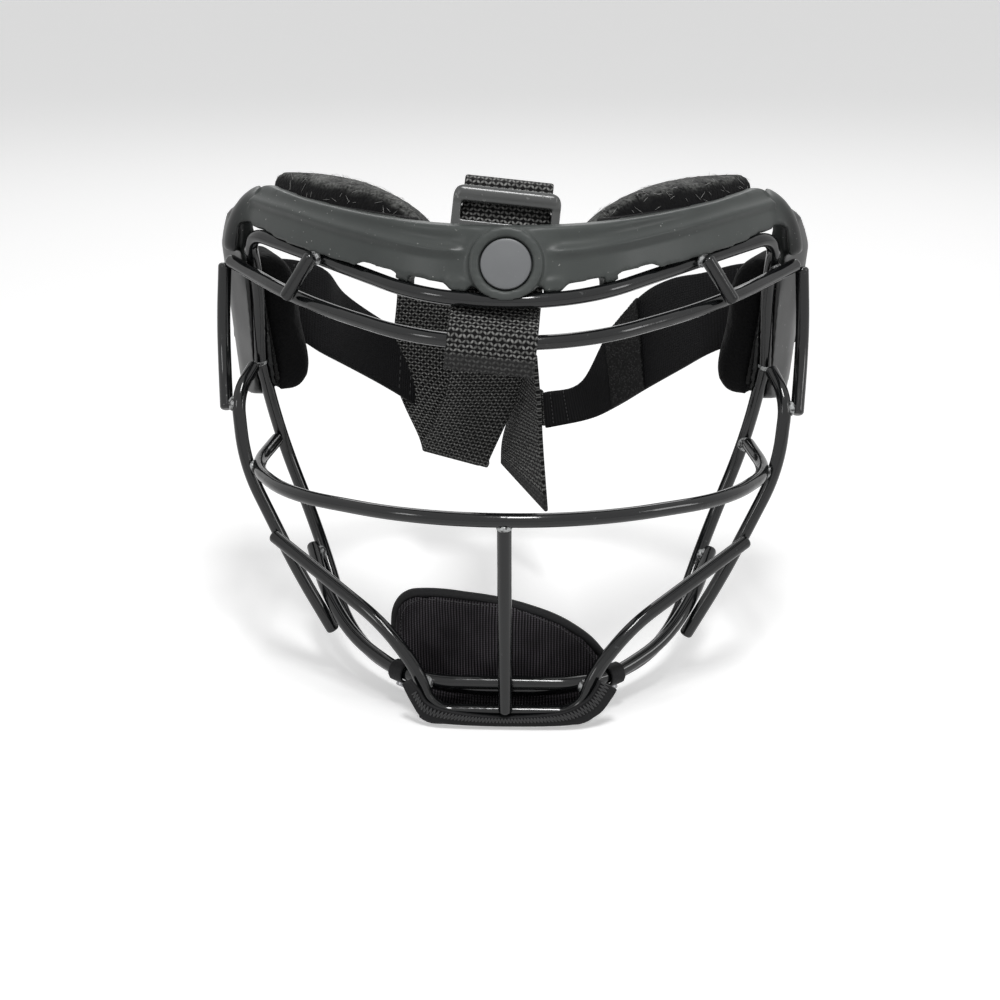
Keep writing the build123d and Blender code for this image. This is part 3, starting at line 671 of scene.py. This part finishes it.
def makeWelds():
    s = weldSettings
    bpy.ops.object.select_all(action="DESELECT")
    bpy.ops.mesh.primitive_ico_sphere_add(subdivisions=3, radius=s["radius"])
    bead = newPiece("weldBead")
    editStep(bead, lambda: bpy.ops.transform.resize(value=(1, 1, s["flat"])),
             lambda: bpy.ops.transform.vertex_random(offset=s["rough"], seed=4),
             lambda: bpy.ops.mesh.vertices_smooth(factor=0.5, repeat=1))
    copies = []
    for k, (spot, way) in enumerate(weldSpots()):
        one = bead.copy()
        one.data = bead.data.copy()
        turn = way.to_track_quat("Z", "X").to_matrix().to_4x4() @ Matrix.Rotation(k, 4, "Z")
        one.data.transform(Matrix.Translation(spot) @ turn)
        bpy.context.scene.collection.objects.link(one)
        copies.append(one)
    bpy.data.objects.remove(bead)
    welds = joined("weldBeads", *copies)
    pick(welds)
    bpy.ops.object.shade_smooth()
    dress(welds, "coated_wire", weldCoatAndGlints)
    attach(welds, "mask")
    print("welds made", len(copies))


makeWelds()

# Brow struts: each ends at the lower brow bar, with a rounded foot
strutSettings = {"shorter": 2.7 * mm, "voxel": 0.3 * mm, "rounds": 3}


def makeStruts():
    s = strutSettings
    for side in ("left", "right"):
        strut = copyOfNode(f"brow_strut_{side}", f"browStrut.{side}")
        points = [v.co for v in strut.data.vertices]
        top, foot = max(points, key=lambda p: p.z), min(points, key=lambda p: p.z)
        way = (top - foot).normalized()
        middle = (top.z + foot.z) / 2
        for v in strut.data.vertices:
            if v.co.z < middle:
                v.co += way * s["shorter"]
        remesh(strut, s["voxel"], s["rounds"])
        dress(strut, "coated_wire")
        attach(strut, "mask")
        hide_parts(f"brow_strut_{side}")


makeStruts()

# Brow shell: a fairing fills the corner between band and arm, and a crease runs along the band
# with a shallow hollow over it. Places and widths are in millimetres
shellSettings = {"voxel": 0.62 * mm, "rounds": 7, "cornerRounds": 44, "cornerFrom": 66, "cornerTo": 72,
                 "fairingPlace": (70.5, -28.0, 5.0), "fairingRadii": (15.2, 9.8, 21.4), "fairingInner": 73.4,
                 "overWire": 15.8, "overBar": 6.4, "wireEnds": 80.2,
                 "crease": 1.25 * mm, "creaseWidth": 1.2, "creaseStart": 10.5, "creaseEnd": 84,
                 "hollow": 0.55 * mm, "hollowOver": 2.9, "hollowWidth": 1.6}
creaseLine = [(0, 17.8), (20, 18.4), (32, 19.4), (45, 20.5), (62, 22.2), (74, 22.4), (84, 19)]


def creaseLevel(x):
    # height of the crease at a distance from the middle
    for (x1, z1), (x2, z2) in zip(creaseLine, creaseLine[1:]):
        if x <= x2:
            return z1 + (z2 - z1) * (x - x1) / (x2 - x1)
    return creaseLine[-1][1]


def bell(t):
    return exp(-t * t)


def fairing(side):
    # part of an ellipsoid, kept above the wires and outside the forehead pad
    s = shellSettings
    px, py, pz = s["fairingPlace"]
    bpy.ops.object.select_all(action="DESELECT")
    bpy.ops.mesh.primitive_uv_sphere_add(segments=64, ring_count=48, radius=1 * mm)
    lump = newPiece("fairing")
    editStep(lump, lambda: bpy.ops.transform.resize(value=s["fairingRadii"]))
    settle(lump)
    for v in lump.data.vertices:
        x = max(v.co.x / mm + px, s["fairingInner"])
        low = s["overBar"] if x > s["wireEnds"] else s["overWire"]
        v.co = Vector((side * x, v.co.y / mm + py, max(v.co.z / mm + pz, low))) * mm
    if side < 0:
        editStep(lump, bpy.ops.mesh.flip_normals)
    return lump


def atCorner(place):
    # 1 at the shell's upper corners, falling to 0 along the band, down the arm and to the back
    s = shellSettings
    x, y, z = place / mm
    out = (abs(x) - s["cornerFrom"]) / (s["cornerTo"] - s["cornerFrom"])
    return max(0.0, min(1.0, out, (z - 2) / 6, (-22 - y) / 6))


def makeShell():
    s = shellSettings
    shell = joined("browShell", copyOfNode("brow_shell", "browShell"), fairing(-1), fairing(1))
    remesh(shell, s["voxel"], s["rounds"])
    soften(shell, s["cornerRounds"], atCorner)
    # the crease lies on faces that look outward, and fades by the badge and at the corners
    normals = [v.normal.copy() for v in shell.data.vertices]
    for v, normal in zip(shell.data.vertices, normals):
        x, y, z = v.co / mm
        out = Vector((x, y * 0.8, 8)).normalized()
        facing = normal.dot(out)
        if facing > 0.3 and y < -34:
            over = z - creaseLevel(abs(x))
            fade = max(0, min(1, (abs(x) - s["creaseStart"]) / 4, (s["creaseEnd"] - abs(x)) / 8))
            fade *= min(1, (facing - 0.3) / 0.3)
            crest = s["crease"] * bell(over / s["creaseWidth"])
            dip = s["hollow"] * bell((over - s["hollowOver"]) / s["hollowWidth"])
            v.co += normal * (crest - dip) * fade
    dress(shell, "shell")
    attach(shell, "mask")
    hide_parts("brow_shell")


# Badge: a plain domed disc, a little smaller than its seat so that a dark groove shows round it
badgeSettings = {"radius": 6.75 * mm, "foot": -0.8 * mm, "head": 0.95 * mm, "dome": 0.35 * mm, "rings": 5,
                 "ringShare": 1 / 6.2, "edge": 0.4 * mm, "place": (0, -0.0866, 0.0154), "lean": 20}


def makeBadge():
    s = badgeSettings
    bpy.ops.object.select_all(action="DESELECT")
    bpy.ops.mesh.primitive_cylinder_add(vertices=72, radius=s["radius"], depth=s["head"] - s["foot"],
                                        location=(0, 0, (s["head"] + s["foot"]) / 2))
    disc = newPiece("badgeDisc")
    settle(disc)
    pick(disc)
    bpy.ops.object.mode_set(mode="EDIT")
    bpy.ops.mesh.select_all(action="DESELECT")
    bpy.ops.object.mode_set(mode="OBJECT")
    for face in disc.data.polygons:
        face.select = face.normal.z > 0.9
    bpy.ops.object.mode_set(mode="EDIT")
    for _ in range(s["rings"]):
        bpy.ops.mesh.inset(thickness=s["radius"] * s["ringShare"])
        bpy.ops.transform.translate(value=(0, 0, s["dome"] / s["rings"]))
    bpy.ops.object.mode_set(mode="OBJECT")
    roundEdges(disc, s["edge"], 4)
    disc.data.transform(Matrix.Translation(s["place"]) @ Matrix.Rotation(radians(90 - s["lean"]), 4, "X"))
    smooth(disc, 45)
    dress(disc, "badge")
    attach(disc, "mask")
    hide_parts("badge_disc")


makeShell()
makeBadge()
print("shell made")

# Pads, the hook tape behind them, and lint on the brushed tops
padSettings = {"voxel": 1.3 * mm, "rounds": 3, "pressure": 4.0, "cap": 0.8 * mm,
               "tapeVoxel": 0.4 * mm, "tapeRounds": 2}
lintSettings = {"count": 150, "shortest": 1.0 * mm, "longest": 3.6 * mm, "radius": 0.045 * mm, "lift": 0.12 * mm,
                "rise": (-0.05 * mm, 0.25 * mm), "upward": 0.25, "seeds": {"left": 3, "right": 8}}


def lintOn(pad, seed):
    s, chance = lintSettings, Random(seed)
    tops = [face for face in pad.data.polygons if face.normal.z > s["upward"]]
    runs = []
    for _ in range(s["count"]):
        face = tops[chance.randrange(len(tops))]
        toward = Vector((chance.uniform(-1, 1), chance.uniform(-1, 1), chance.uniform(-1, 1)))
        way = face.normal.cross(toward).normalized()
        start = face.center + face.normal * s["lift"]
        length, rise = chance.uniform(s["shortest"], s["longest"]), chance.uniform(*s["rise"])
        runs.append((start, start + way * length + face.normal * rise))
    return runs


def makePads():
    s = padSettings
    for place in ("forehead", "temple"):
        for side in ("left", "right"):
            pad = copyOfNode(f"{place}_pad_{side}", f"{place}Pad.{side}")
            remesh(pad, s["voxel"], s["rounds"])
            swell(pad, s["pressure"], s["cap"])
            dress(pad, "pad", shadedTemplePile if place == "temple" else None)
            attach(pad, "mask")
            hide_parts(f"{place}_pad_{side}")
            if place == "forehead":
                fibres = lintOn(pad, lintSettings["seeds"][side])
                lint = sewn(f"padLint.{side}", fibres, lintSettings["radius"], lintFibre)
                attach(lint, "mask")
            tape = copyOfNode(f"{place}_patch_{side}", f"{place}Hook.{side}")
            remesh(tape, s["tapeVoxel"], s["tapeRounds"])
            dress(tape, "hook_patch")
            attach(tape, "mask")
            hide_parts(f"{place}_patch_{side}")


makePads()
print("pads made")

# Straps. The top strap runs from its free end in front, over the brow, to the rear of the harness
strapSettings = {"width": 24 * mm, "linkWidth": 20 * mm, "thickness": 1.6 * mm, "step": 1.6 * mm,
                 "frontStep": 1.6, "bend": 4.0, "half": 12.0, "tilt": radians(5.9), "tiltLevel": 30}
topFront = [(-94.1, -12.5), (-94.1, -2.1), (-80.6, 5.0), (-78.6, 8.0), (-67.1, 35.2), (-1.0, -11.2)]
topRear = [((-16, 6, -14.8), (8, 6, -17.2)), ((-18.5, 15.8, -28), (5.9, 15.8, -28)),
           ((-21, 22, -42.4), (3.4, 22, -42.4)), ((-24.4, 26, -56), (0, 26, -56)),
           ((-31, 29.8, -72), (-8.8, 29.8, -77.6)), ((-32, 32.6, -75), (-9.2, 32.6, -80.8)),
           ((-33.6, 36.5, -72), (-10, 36.5, -77.6)), ((-42, 38.4, -49.6), (-17.6, 38.4, -52.8)),
           ((-39.5, 31.7, -20), (-15, 31.7, -21.6))]
tailEdges = [((-5, 37, -81.6), (10.9, 16.8, -92)), ((-4.2, 37.4, -72), (9.2, 15.4, -70.4)),
             ((0.8, 37, -52.8), (8, 14.9, -52.8)), ((1.8, 37, -36.8), (6.6, 14.4, -36.8))]
linkEdges = [((-33.6, 44.6, -40), (-34.4, 40.8, -61.6)), ((-10, 48, -49.6), (-10, 44.6, -66.4)),
             ((9.2, 47.5, -58.4), (10, 44.4, -70.4))]


def roundedLine(points, radius, step):
    # points of a line whose corners are curved
    points = [Vector(p) for p in points]
    line = [points[0]]
    for a, b, c in zip(points, points[1:], points[2:]):
        come, go = (a - b).normalized(), (c - b).normalized()
        half = come.angle(go) / 2
        reach = min(radius / max(1e-6, abs(tan(half))), 0.48 * (a - b).length, 0.48 * (c - b).length)
        start, end = b + come * reach, b + go * reach
        for k in range(7):
            t = k / 6
            line.append(start * (1 - t) ** 2 + b * 2 * t * (1 - t) + end * t ** 2)
    line.append(points[-1])
    fine = []
    for a, b in zip(line, line[1:]):
        count = max(1, round((b - a).length / step))
        fine += [a.lerp(b, k / count) for k in range(count)]
    return fine + [line[-1]]


def tilted(x, y, z):
    # the strap leans to one side about the line through the shell's top
    s = strapSettings
    up = z - s["tiltLevel"]
    return Vector((x * cos(s["tilt"]) + up * sin(s["tilt"]), y,
                   up * cos(s["tilt"]) - x * sin(s["tilt"]) + s["tiltLevel"])) * mm


def makeTopStrap():
    s = strapSettings
    # in front the strap is straight across, and behind it has listed edges
    line = roundedLine(topFront, s["bend"], s["frontStep"])
    front = [(tilted(-s["half"], y, z), tilted(s["half"], y, z)) for y, z in line]
    strap = layStrap("topStrap", front + evenStations(topRear, s["step"]), s["width"], s["thickness"])
    dress(strap, "webbing")
    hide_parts("top_strap_front", "top_strap_rear")
    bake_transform(strap)


def makeLinkAndTail():
    s = strapSettings
    rearLink = layStrap("rearLink", evenStations(linkEdges, s["step"]), s["linkWidth"], s["thickness"])
    dress(rearLink, "webbing")
    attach(rearLink, "harness")
    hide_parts("rear_link")
    tail = layStrap("strapTail", evenStations(tailEdges, s["step"]), s["width"], s["thickness"])
    dress(tail, "webbing")
    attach(tail, "tail")
    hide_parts("strap_tail")


makeTopStrap()
makeLinkAndTail()

# Elastic bands and the sewn keepers that hold them on the arms. Each seam has its row, counted from
# the band's far end where it is below 0, and its number of stitches
elasticSettings = {"width": 25 * mm, "thickness": 1.8 * mm, "step": 2.0 * mm,
                   "seamRadius": 0.2 * mm, "seamLift": 0.05 * mm, "seams": ((2.2, 12), (5.2, 12), (-1.5, 8), (-4, 8)),
                   "keeperVoxel": 0.4 * mm, "keeperRounds": 8, "tapeVoxel": 0.5 * mm, "tapeRounds": 2}
leftElastic = [((80.8, 5.75, -3.5), (80.8, 5.75, -28.5)), ((70, 7.9, -4.8), (71, 4.1, -29.6)),
               ((60, 10, -8), (62, 4, -33)), ((50, 18, -12), (54, 13.9, -41)), ((41, 28, -20), (44, 26, -51)),
               ((31, 37, -35), (34, 34, -60)), ((22, 43, -54), (25, 39, -66)), ((9, 45, -58.4), (10, 42, -70.4))]
rightElastic = [((-80.8, 5.75, -3.5), (-80.8, 5.75, -28.5)), ((-70, 7.9, -4.4), (-71, 4, -28.4)),
                ((-61, 11, -8), (-62, 5, -34)), ((-56, 20, -18), (-54, 17, -42.4)),
                ((-44, 34, -31), (-45, 30, -52)), ((-34, 42, -39), (-35, 38, -61))]


def makeElastics():
    s = elasticSettings
    for side, edges, sign in (("left", leftElastic, 1), ("right", rightElastic, -1)):
        pairs = evenStations(edges, s["step"])
        band = layStrap(f"elasticBand.{side}", pairs, s["width"], s["thickness"])
        dress(band, "elastic")
        lift, stitches = s["thickness"] / 2 + s["seamLift"], []
        for row, count in s["seams"]:
            stitches += seamAcross(pairs, row if row > 0 else len(pairs) - 1 + row, count, lift)
        thread = sewn(f"seam.{side}", stitches, s["seamRadius"], darkThread)
        band = joined(band.name, band, thread)
        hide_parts(f"elastic_strap_{side}")
        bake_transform(band)
        keeper = copyOfNode(f"strap_keeper_{side}", f"strapKeeper.{side}")
        remesh(keeper, s["keeperVoxel"], s["keeperRounds"])
        dress(keeper, "elastic", finishes["chin_trim"])
        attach(keeper, "mask")
        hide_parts(f"strap_keeper_{side}")
    tape = copyOfNode("elastic_patch", "elasticHook")
    remesh(tape, s["tapeVoxel"], s["tapeRounds"])
    dress(tape, "hook_patch")
    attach(tape, "harness")
    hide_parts("elastic_patch")


makeElastics()

# Tri-glide: a rounded frame in front of the strap with a ridge along its top bar, two legs, and a
# bar behind the strap. Sizes are in millimetres
glideSettings = {"wide": 29, "inner": 24.2, "high": 13.8, "bar": 4.4, "thick": 2.6, "depth": 1.0, "drop": 0.6,
                 "back": 1.2, "topRise": 0.4, "ridgeRise": 0.9, "ridgeUp": 0.3, "ridgeInset": (3, 2.2),
                 "corner": 3.2, "rounds": 26, "place": (0, -71.2, 25.53), "lean": 23, "voxel": 0.24 * mm}


def glideBlocks():
    s = glideSettings
    wide, high, bar, thick, down = s["wide"], s["high"], s["bar"], s["thick"], -s["drop"]
    front = s["depth"] + thick / 2
    side, legWide = (wide + s["inner"]) / 4, (wide - s["inner"]) / 2
    top, foot = high / 2 - bar / 2 + down, -high / 2 + bar / 2 + down
    insetWide, insetHigh = s["ridgeInset"]
    yield "barTop", (0, top, front + s["topRise"] / 2), (wide, bar, thick + s["topRise"])
    yield ("ridge", (0, top + s["ridgeUp"], front + s["ridgeRise"] / 2),
           (wide - insetWide, bar - insetHigh, thick + s["ridgeRise"]))
    yield "barFoot", (0, foot, front), (wide, bar, thick)
    yield "barBack", (0, down, -s["depth"] - s["back"] / 2), (wide, bar, s["back"])
    for way in (-1, 1):
        yield "rail", (way * side, down, front), (legWide, high, thick)
        yield "leg", (way * side, down, 0), (legWide, bar, 2 * front)


def roundCorners(glide):
    # the frame's outer corners are drawn round
    s = glideSettings
    corner = s["corner"]
    cx, cy = s["wide"] / 2 - corner, s["high"] / 2 - corner
    for v in glide.data.vertices:
        up = v.co.y / mm + s["drop"]
        x, y = abs(v.co.x / mm), abs(up)
        over = Vector((x - cx, y - cy))
        if over.x > 0 and over.y > 0 and over.length > corner:
            pulled = over.normalized() * corner
            v.co.x *= (cx + pulled.x) / x
            v.co.y = ((cy + pulled.y) * (1 if up > 0 else -1) - s["drop"]) * mm


def makeGlide():
    s = glideSettings
    glide = joined("triGlide", *[boxAt(*block) for block in glideBlocks()])
    remesh(glide, s["voxel"])
    roundCorners(glide)
    soften(glide, s["rounds"])
    pick(glide)
    bpy.ops.object.shade_smooth()
    # it stands on the strap's slope, and leans to one side with it
    across, up = Vector((1, 0, 0)), Vector((0, sin(radians(s["lean"])), cos(radians(s["lean"]))))
    stand = Matrix((across, up, across.cross(up))).transposed().to_4x4()
    level = Matrix.Translation((0, 0, strapSettings["tiltLevel"] * mm))
    tilt = level @ Matrix.Rotation(strapSettings["tilt"], 4, "Y") @ level.inverted()
    glide.data.transform(tilt @ Matrix.Translation(Vector(s["place"]) * mm) @ stand)
    dress(glide, "buckle")
    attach(glide, "buckle")
    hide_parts("tri_glide")


makeGlide()
print("straps made")

# Chin cup: padded body, piping with a stitch line inside it, tabs
cupSettings = {"voxel": 1.2 * mm, "rounds": 2, "pressure": 3.0, "cap": 0.5 * mm, "clear": 0.1 * mm,
               "stitch": 0.13 * mm, "stitchStep": 0.8 * mm, "stitchLift": 0.08 * mm, "stitchFill": 0.72,
               "inside": 0.935, "middle": (-2, -104), "bindingVoxel": 0.4 * mm, "tabVoxel": 0.35 * mm,
               "edgeRounds": 3}
cupOutline = [(-33.8, -105.8), (-33.5, -95.1), (-29.7, -89.2), (-20.7, -86.5), (0, -87.3), (14.8, -93.5),
              (23.8, -101.4), (28.3, -108.4)]


def pipingStitches(cup):
    # along the outline drawn in toward the middle, laid on the cup's front
    surface, s = surfaceOf(cup), cupSettings
    (mx, mz), share = s["middle"], s["inside"]
    points = [Vector(((x - mx) * share + mx, 0, (z - mz) * share + mz)) * mm for x, z in cupOutline]
    line = [throughPoints(points, k / 16) for k in range(16 * (len(points) - 1) + 1)]
    spots, run = [], 0
    for a, b in zip(line, line[1:]):
        run += (b - a).length
        hit = surface.ray_cast(Vector((b.x, -0.2, b.z)), Vector((0, 1, 0)))[0]
        if hit and run > s["stitchStep"]:
            spots.append(hit - Vector((0, s["stitchLift"], 0)))
            run = 0
    return [(a, a.lerp(b, s["stitchFill"])) for a, b in zip(spots, spots[1:])]


def makeCup():
    s = cupSettings
    cup = copyOfNode("chin_cup", "chinCup")
    remesh(cup, s["voxel"], s["rounds"])
    swell(cup, s["pressure"], s["cap"])
    # pressed flat where it rests
    for v in cup.data.vertices:
        v.co.z = max(v.co.z, cadLow.z + s["clear"])
    dress(cup, "chin_knit")
    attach(cup, "mask")
    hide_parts("chin_cup")
    line = sewn("pipingStitches", pipingStitches(cup), s["stitch"], greyThread)
    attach(line, "mask")
    for nodeName, name, voxel in (("chin_cup_binding", "chinBinding", s["bindingVoxel"]),
                                  ("chin_tab_left", "chinTab.left", s["tabVoxel"]),
                                  ("chin_tab_right", "chinTab.right", s["tabVoxel"])):
        piece = copyOfNode(nodeName, name)
        remesh(piece, voxel, s["edgeRounds"])
        dress(piece, "chin_trim")
        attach(piece, "mask")
        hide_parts(nodeName)


# Stitched rim of the cup: a band with flaps at both ends and a zig-zag seam along its upper edge
rimSettings = {"width": 5 * mm, "thickness": 1.3 * mm, "crown": 0.25 * mm, "step": 1.0 * mm,
               "zigFrom": 0.07, "zigTo": 0.56, "zigEnd": 0.95, "thread": 0.22 * mm, "threadLift": 0.25 * mm}
rimEdges = [((26.6, -86.0, -104.8), (32.0, -84.4, -108.6)), ((25.6, -86.9, -107.0), (30.2, -85.4, -111.4)),
            ((22.6, -88.1, -110.6), (26.4, -87.0, -115.6)), ((15.0, -88.9, -114.1), (18.6, -88.8, -118.0)),
            ((-0.7, -89.0, -115.5), (-0.7, -89.2, -118.6)), ((-14.5, -88.9, -114.2), (-17.6, -88.8, -118.2)),
            ((-22.0, -88.1, -112.0), (-23.8, -87.2, -117.2)), ((-24.6, -87.2, -108.5), (-27.2, -86.0, -112.6)),
            ((-27.2, -86.2, -105.4), (-29.8, -84.9, -107.6))]


def makeRim():
    s = rimSettings
    pairs = evenStations(rimEdges, s["step"])
    rim = layStrap("chinRim", pairs, s["width"], s["thickness"], across=6, crown=s["crown"])
    dress(rim, "chin_trim")
    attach(rim, "mask")
    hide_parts("chin_cup_rim")
    # the rim's outer face is on the minus side of its rows
    lift = -(s["thickness"] / 2 + s["threadLift"])
    runs, rows = [], len(pairs) - 1
    for k in range(int(rows * s["zigEnd"])):
        low = onStrap(pairs, k, s["zigTo"], lift)
        top = onStrap(pairs, k + 0.5, s["zigFrom"], lift)
        runs += [(low, top), (top, onStrap(pairs, k + 1, s["zigTo"], lift))]
    seam = sewn("rimZigzag", runs, s["thread"], darkThread)
    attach(seam, "mask")


makeCup()
makeRim()
print("chin cup made")

# Room: pale floor, soft lamps, and white where the camera or gloss sees past the object
roomSettings = {"floor": 0.80, "glow": 0.40, "sky": 0.30, "aim": (0, -0.04, -0.04),
                "lamps": {"above": ((0.05, -0.42, 0.82), (0.16, 0.30), 5.4),
                          "left": ((-0.75, -0.75, 0.45), (0.18, 0.28), 1.1),
                          "right": ((0.85, -0.35, 0.30), (0.18, 0.28), 1.0),
                          "behind": ((0.0, 0.8, 0.6), (0.8, 0.25), 2.0)}}


def seenDirectly(tree):
    # 1 for what the camera sees by itself, in gloss or through glass, 0 for light on the object
    path = tree.nodes.new("ShaderNodeLightPath")
    mask = path.outputs["Is Camera Ray"]
    for ray in ("Is Glossy Ray", "Is Transmission Ray"):
        either = tree.nodes.new("ShaderNodeMath")
        either.operation = "MAXIMUM"
        tree.links.new(mask, either.inputs[0])
        tree.links.new(path.outputs[ray], either.inputs[1])
        mask = either.outputs[0]
    return mask


def makeFloor():
    bpy.ops.object.select_all(action="DESELECT")
    bpy.ops.mesh.primitive_plane_add(size=8, location=(0, 0, cadLow.z))
    floor = newPiece("floor")
    mat, shader = startMaterial("paleFloor", (roomSettings["floor"],) * 3, 0.7, Specular_IOR_Level=0.1)
    tree = mat.node_tree
    glow, total = tree.nodes.new("ShaderNodeEmission"), tree.nodes.new("ShaderNodeAddShader")
    link(mat, math(mat, "MULTIPLY", seenDirectly(tree), roomSettings["glow"]), glow.inputs["Strength"])
    link(mat, shader.outputs[0], total.inputs[0])
    link(mat, glow.outputs[0], total.inputs[1])
    link(mat, total.outputs[0], tree.nodes["Material Output"].inputs["Surface"])
    floor.data.materials.append(mat)


def facingFrom(place, target):
    return (Vector(target) - Vector(place)).to_track_quat("-Z", "Y").to_euler()


def makeRoom():
    makeFloor()
    world = bpy.data.worlds.new("room")
    bpy.context.scene.world = world
    world.use_nodes = True
    tree = world.node_tree
    tree.nodes.clear()
    soft, seen = tree.nodes.new("ShaderNodeBackground"), tree.nodes.new("ShaderNodeBackground")
    soft.inputs[0].default_value, soft.inputs[1].default_value = (1, 1, 1, 1), roomSettings["sky"]
    seen.inputs[0].default_value, seen.inputs[1].default_value = (1, 1, 1, 1), 1.0
    mix, out = tree.nodes.new("ShaderNodeMixShader"), tree.nodes.new("ShaderNodeOutputWorld")
    tree.links.new(seenDirectly(tree), mix.inputs[0])
    tree.links.new(soft.outputs[0], mix.inputs[1])
    tree.links.new(seen.outputs[0], mix.inputs[2])
    tree.links.new(mix.outputs[0], out.inputs[0])
    for name, (place, size, power) in roomSettings["lamps"].items():
        lamp = bpy.data.lights.new(name, "AREA")
        lamp.shape, lamp.size, lamp.size_y, lamp.energy = "RECTANGLE", *size, power
        holder = bpy.data.objects.new(name, lamp)
        bpy.context.scene.collection.objects.link(holder)
        holder.location = place
        holder.rotation_euler = facingFrom(place, roomSettings["aim"])


cameraSettings = {"place": (0.01359, -0.55202, 0.11778), "target": (-0.002745, -0.050, -0.06371),
                  "lens": 64.75, "sensor": 36}


def makeCamera():
    s = cameraSettings
    lens = bpy.data.cameras.new("camera")
    lens.lens, lens.sensor_width, lens.clip_start = s["lens"], s["sensor"], 10 * mm
    camera = bpy.data.objects.new("camera", lens)
    bpy.context.scene.collection.objects.link(camera)
    camera.location = s["place"]
    camera.rotation_euler = facingFrom(s["place"], s["target"])
    bpy.context.scene.camera = camera


makeRoom()
makeCamera()
bpy.context.scene.view_settings.view_transform = "Standard"

print("done")
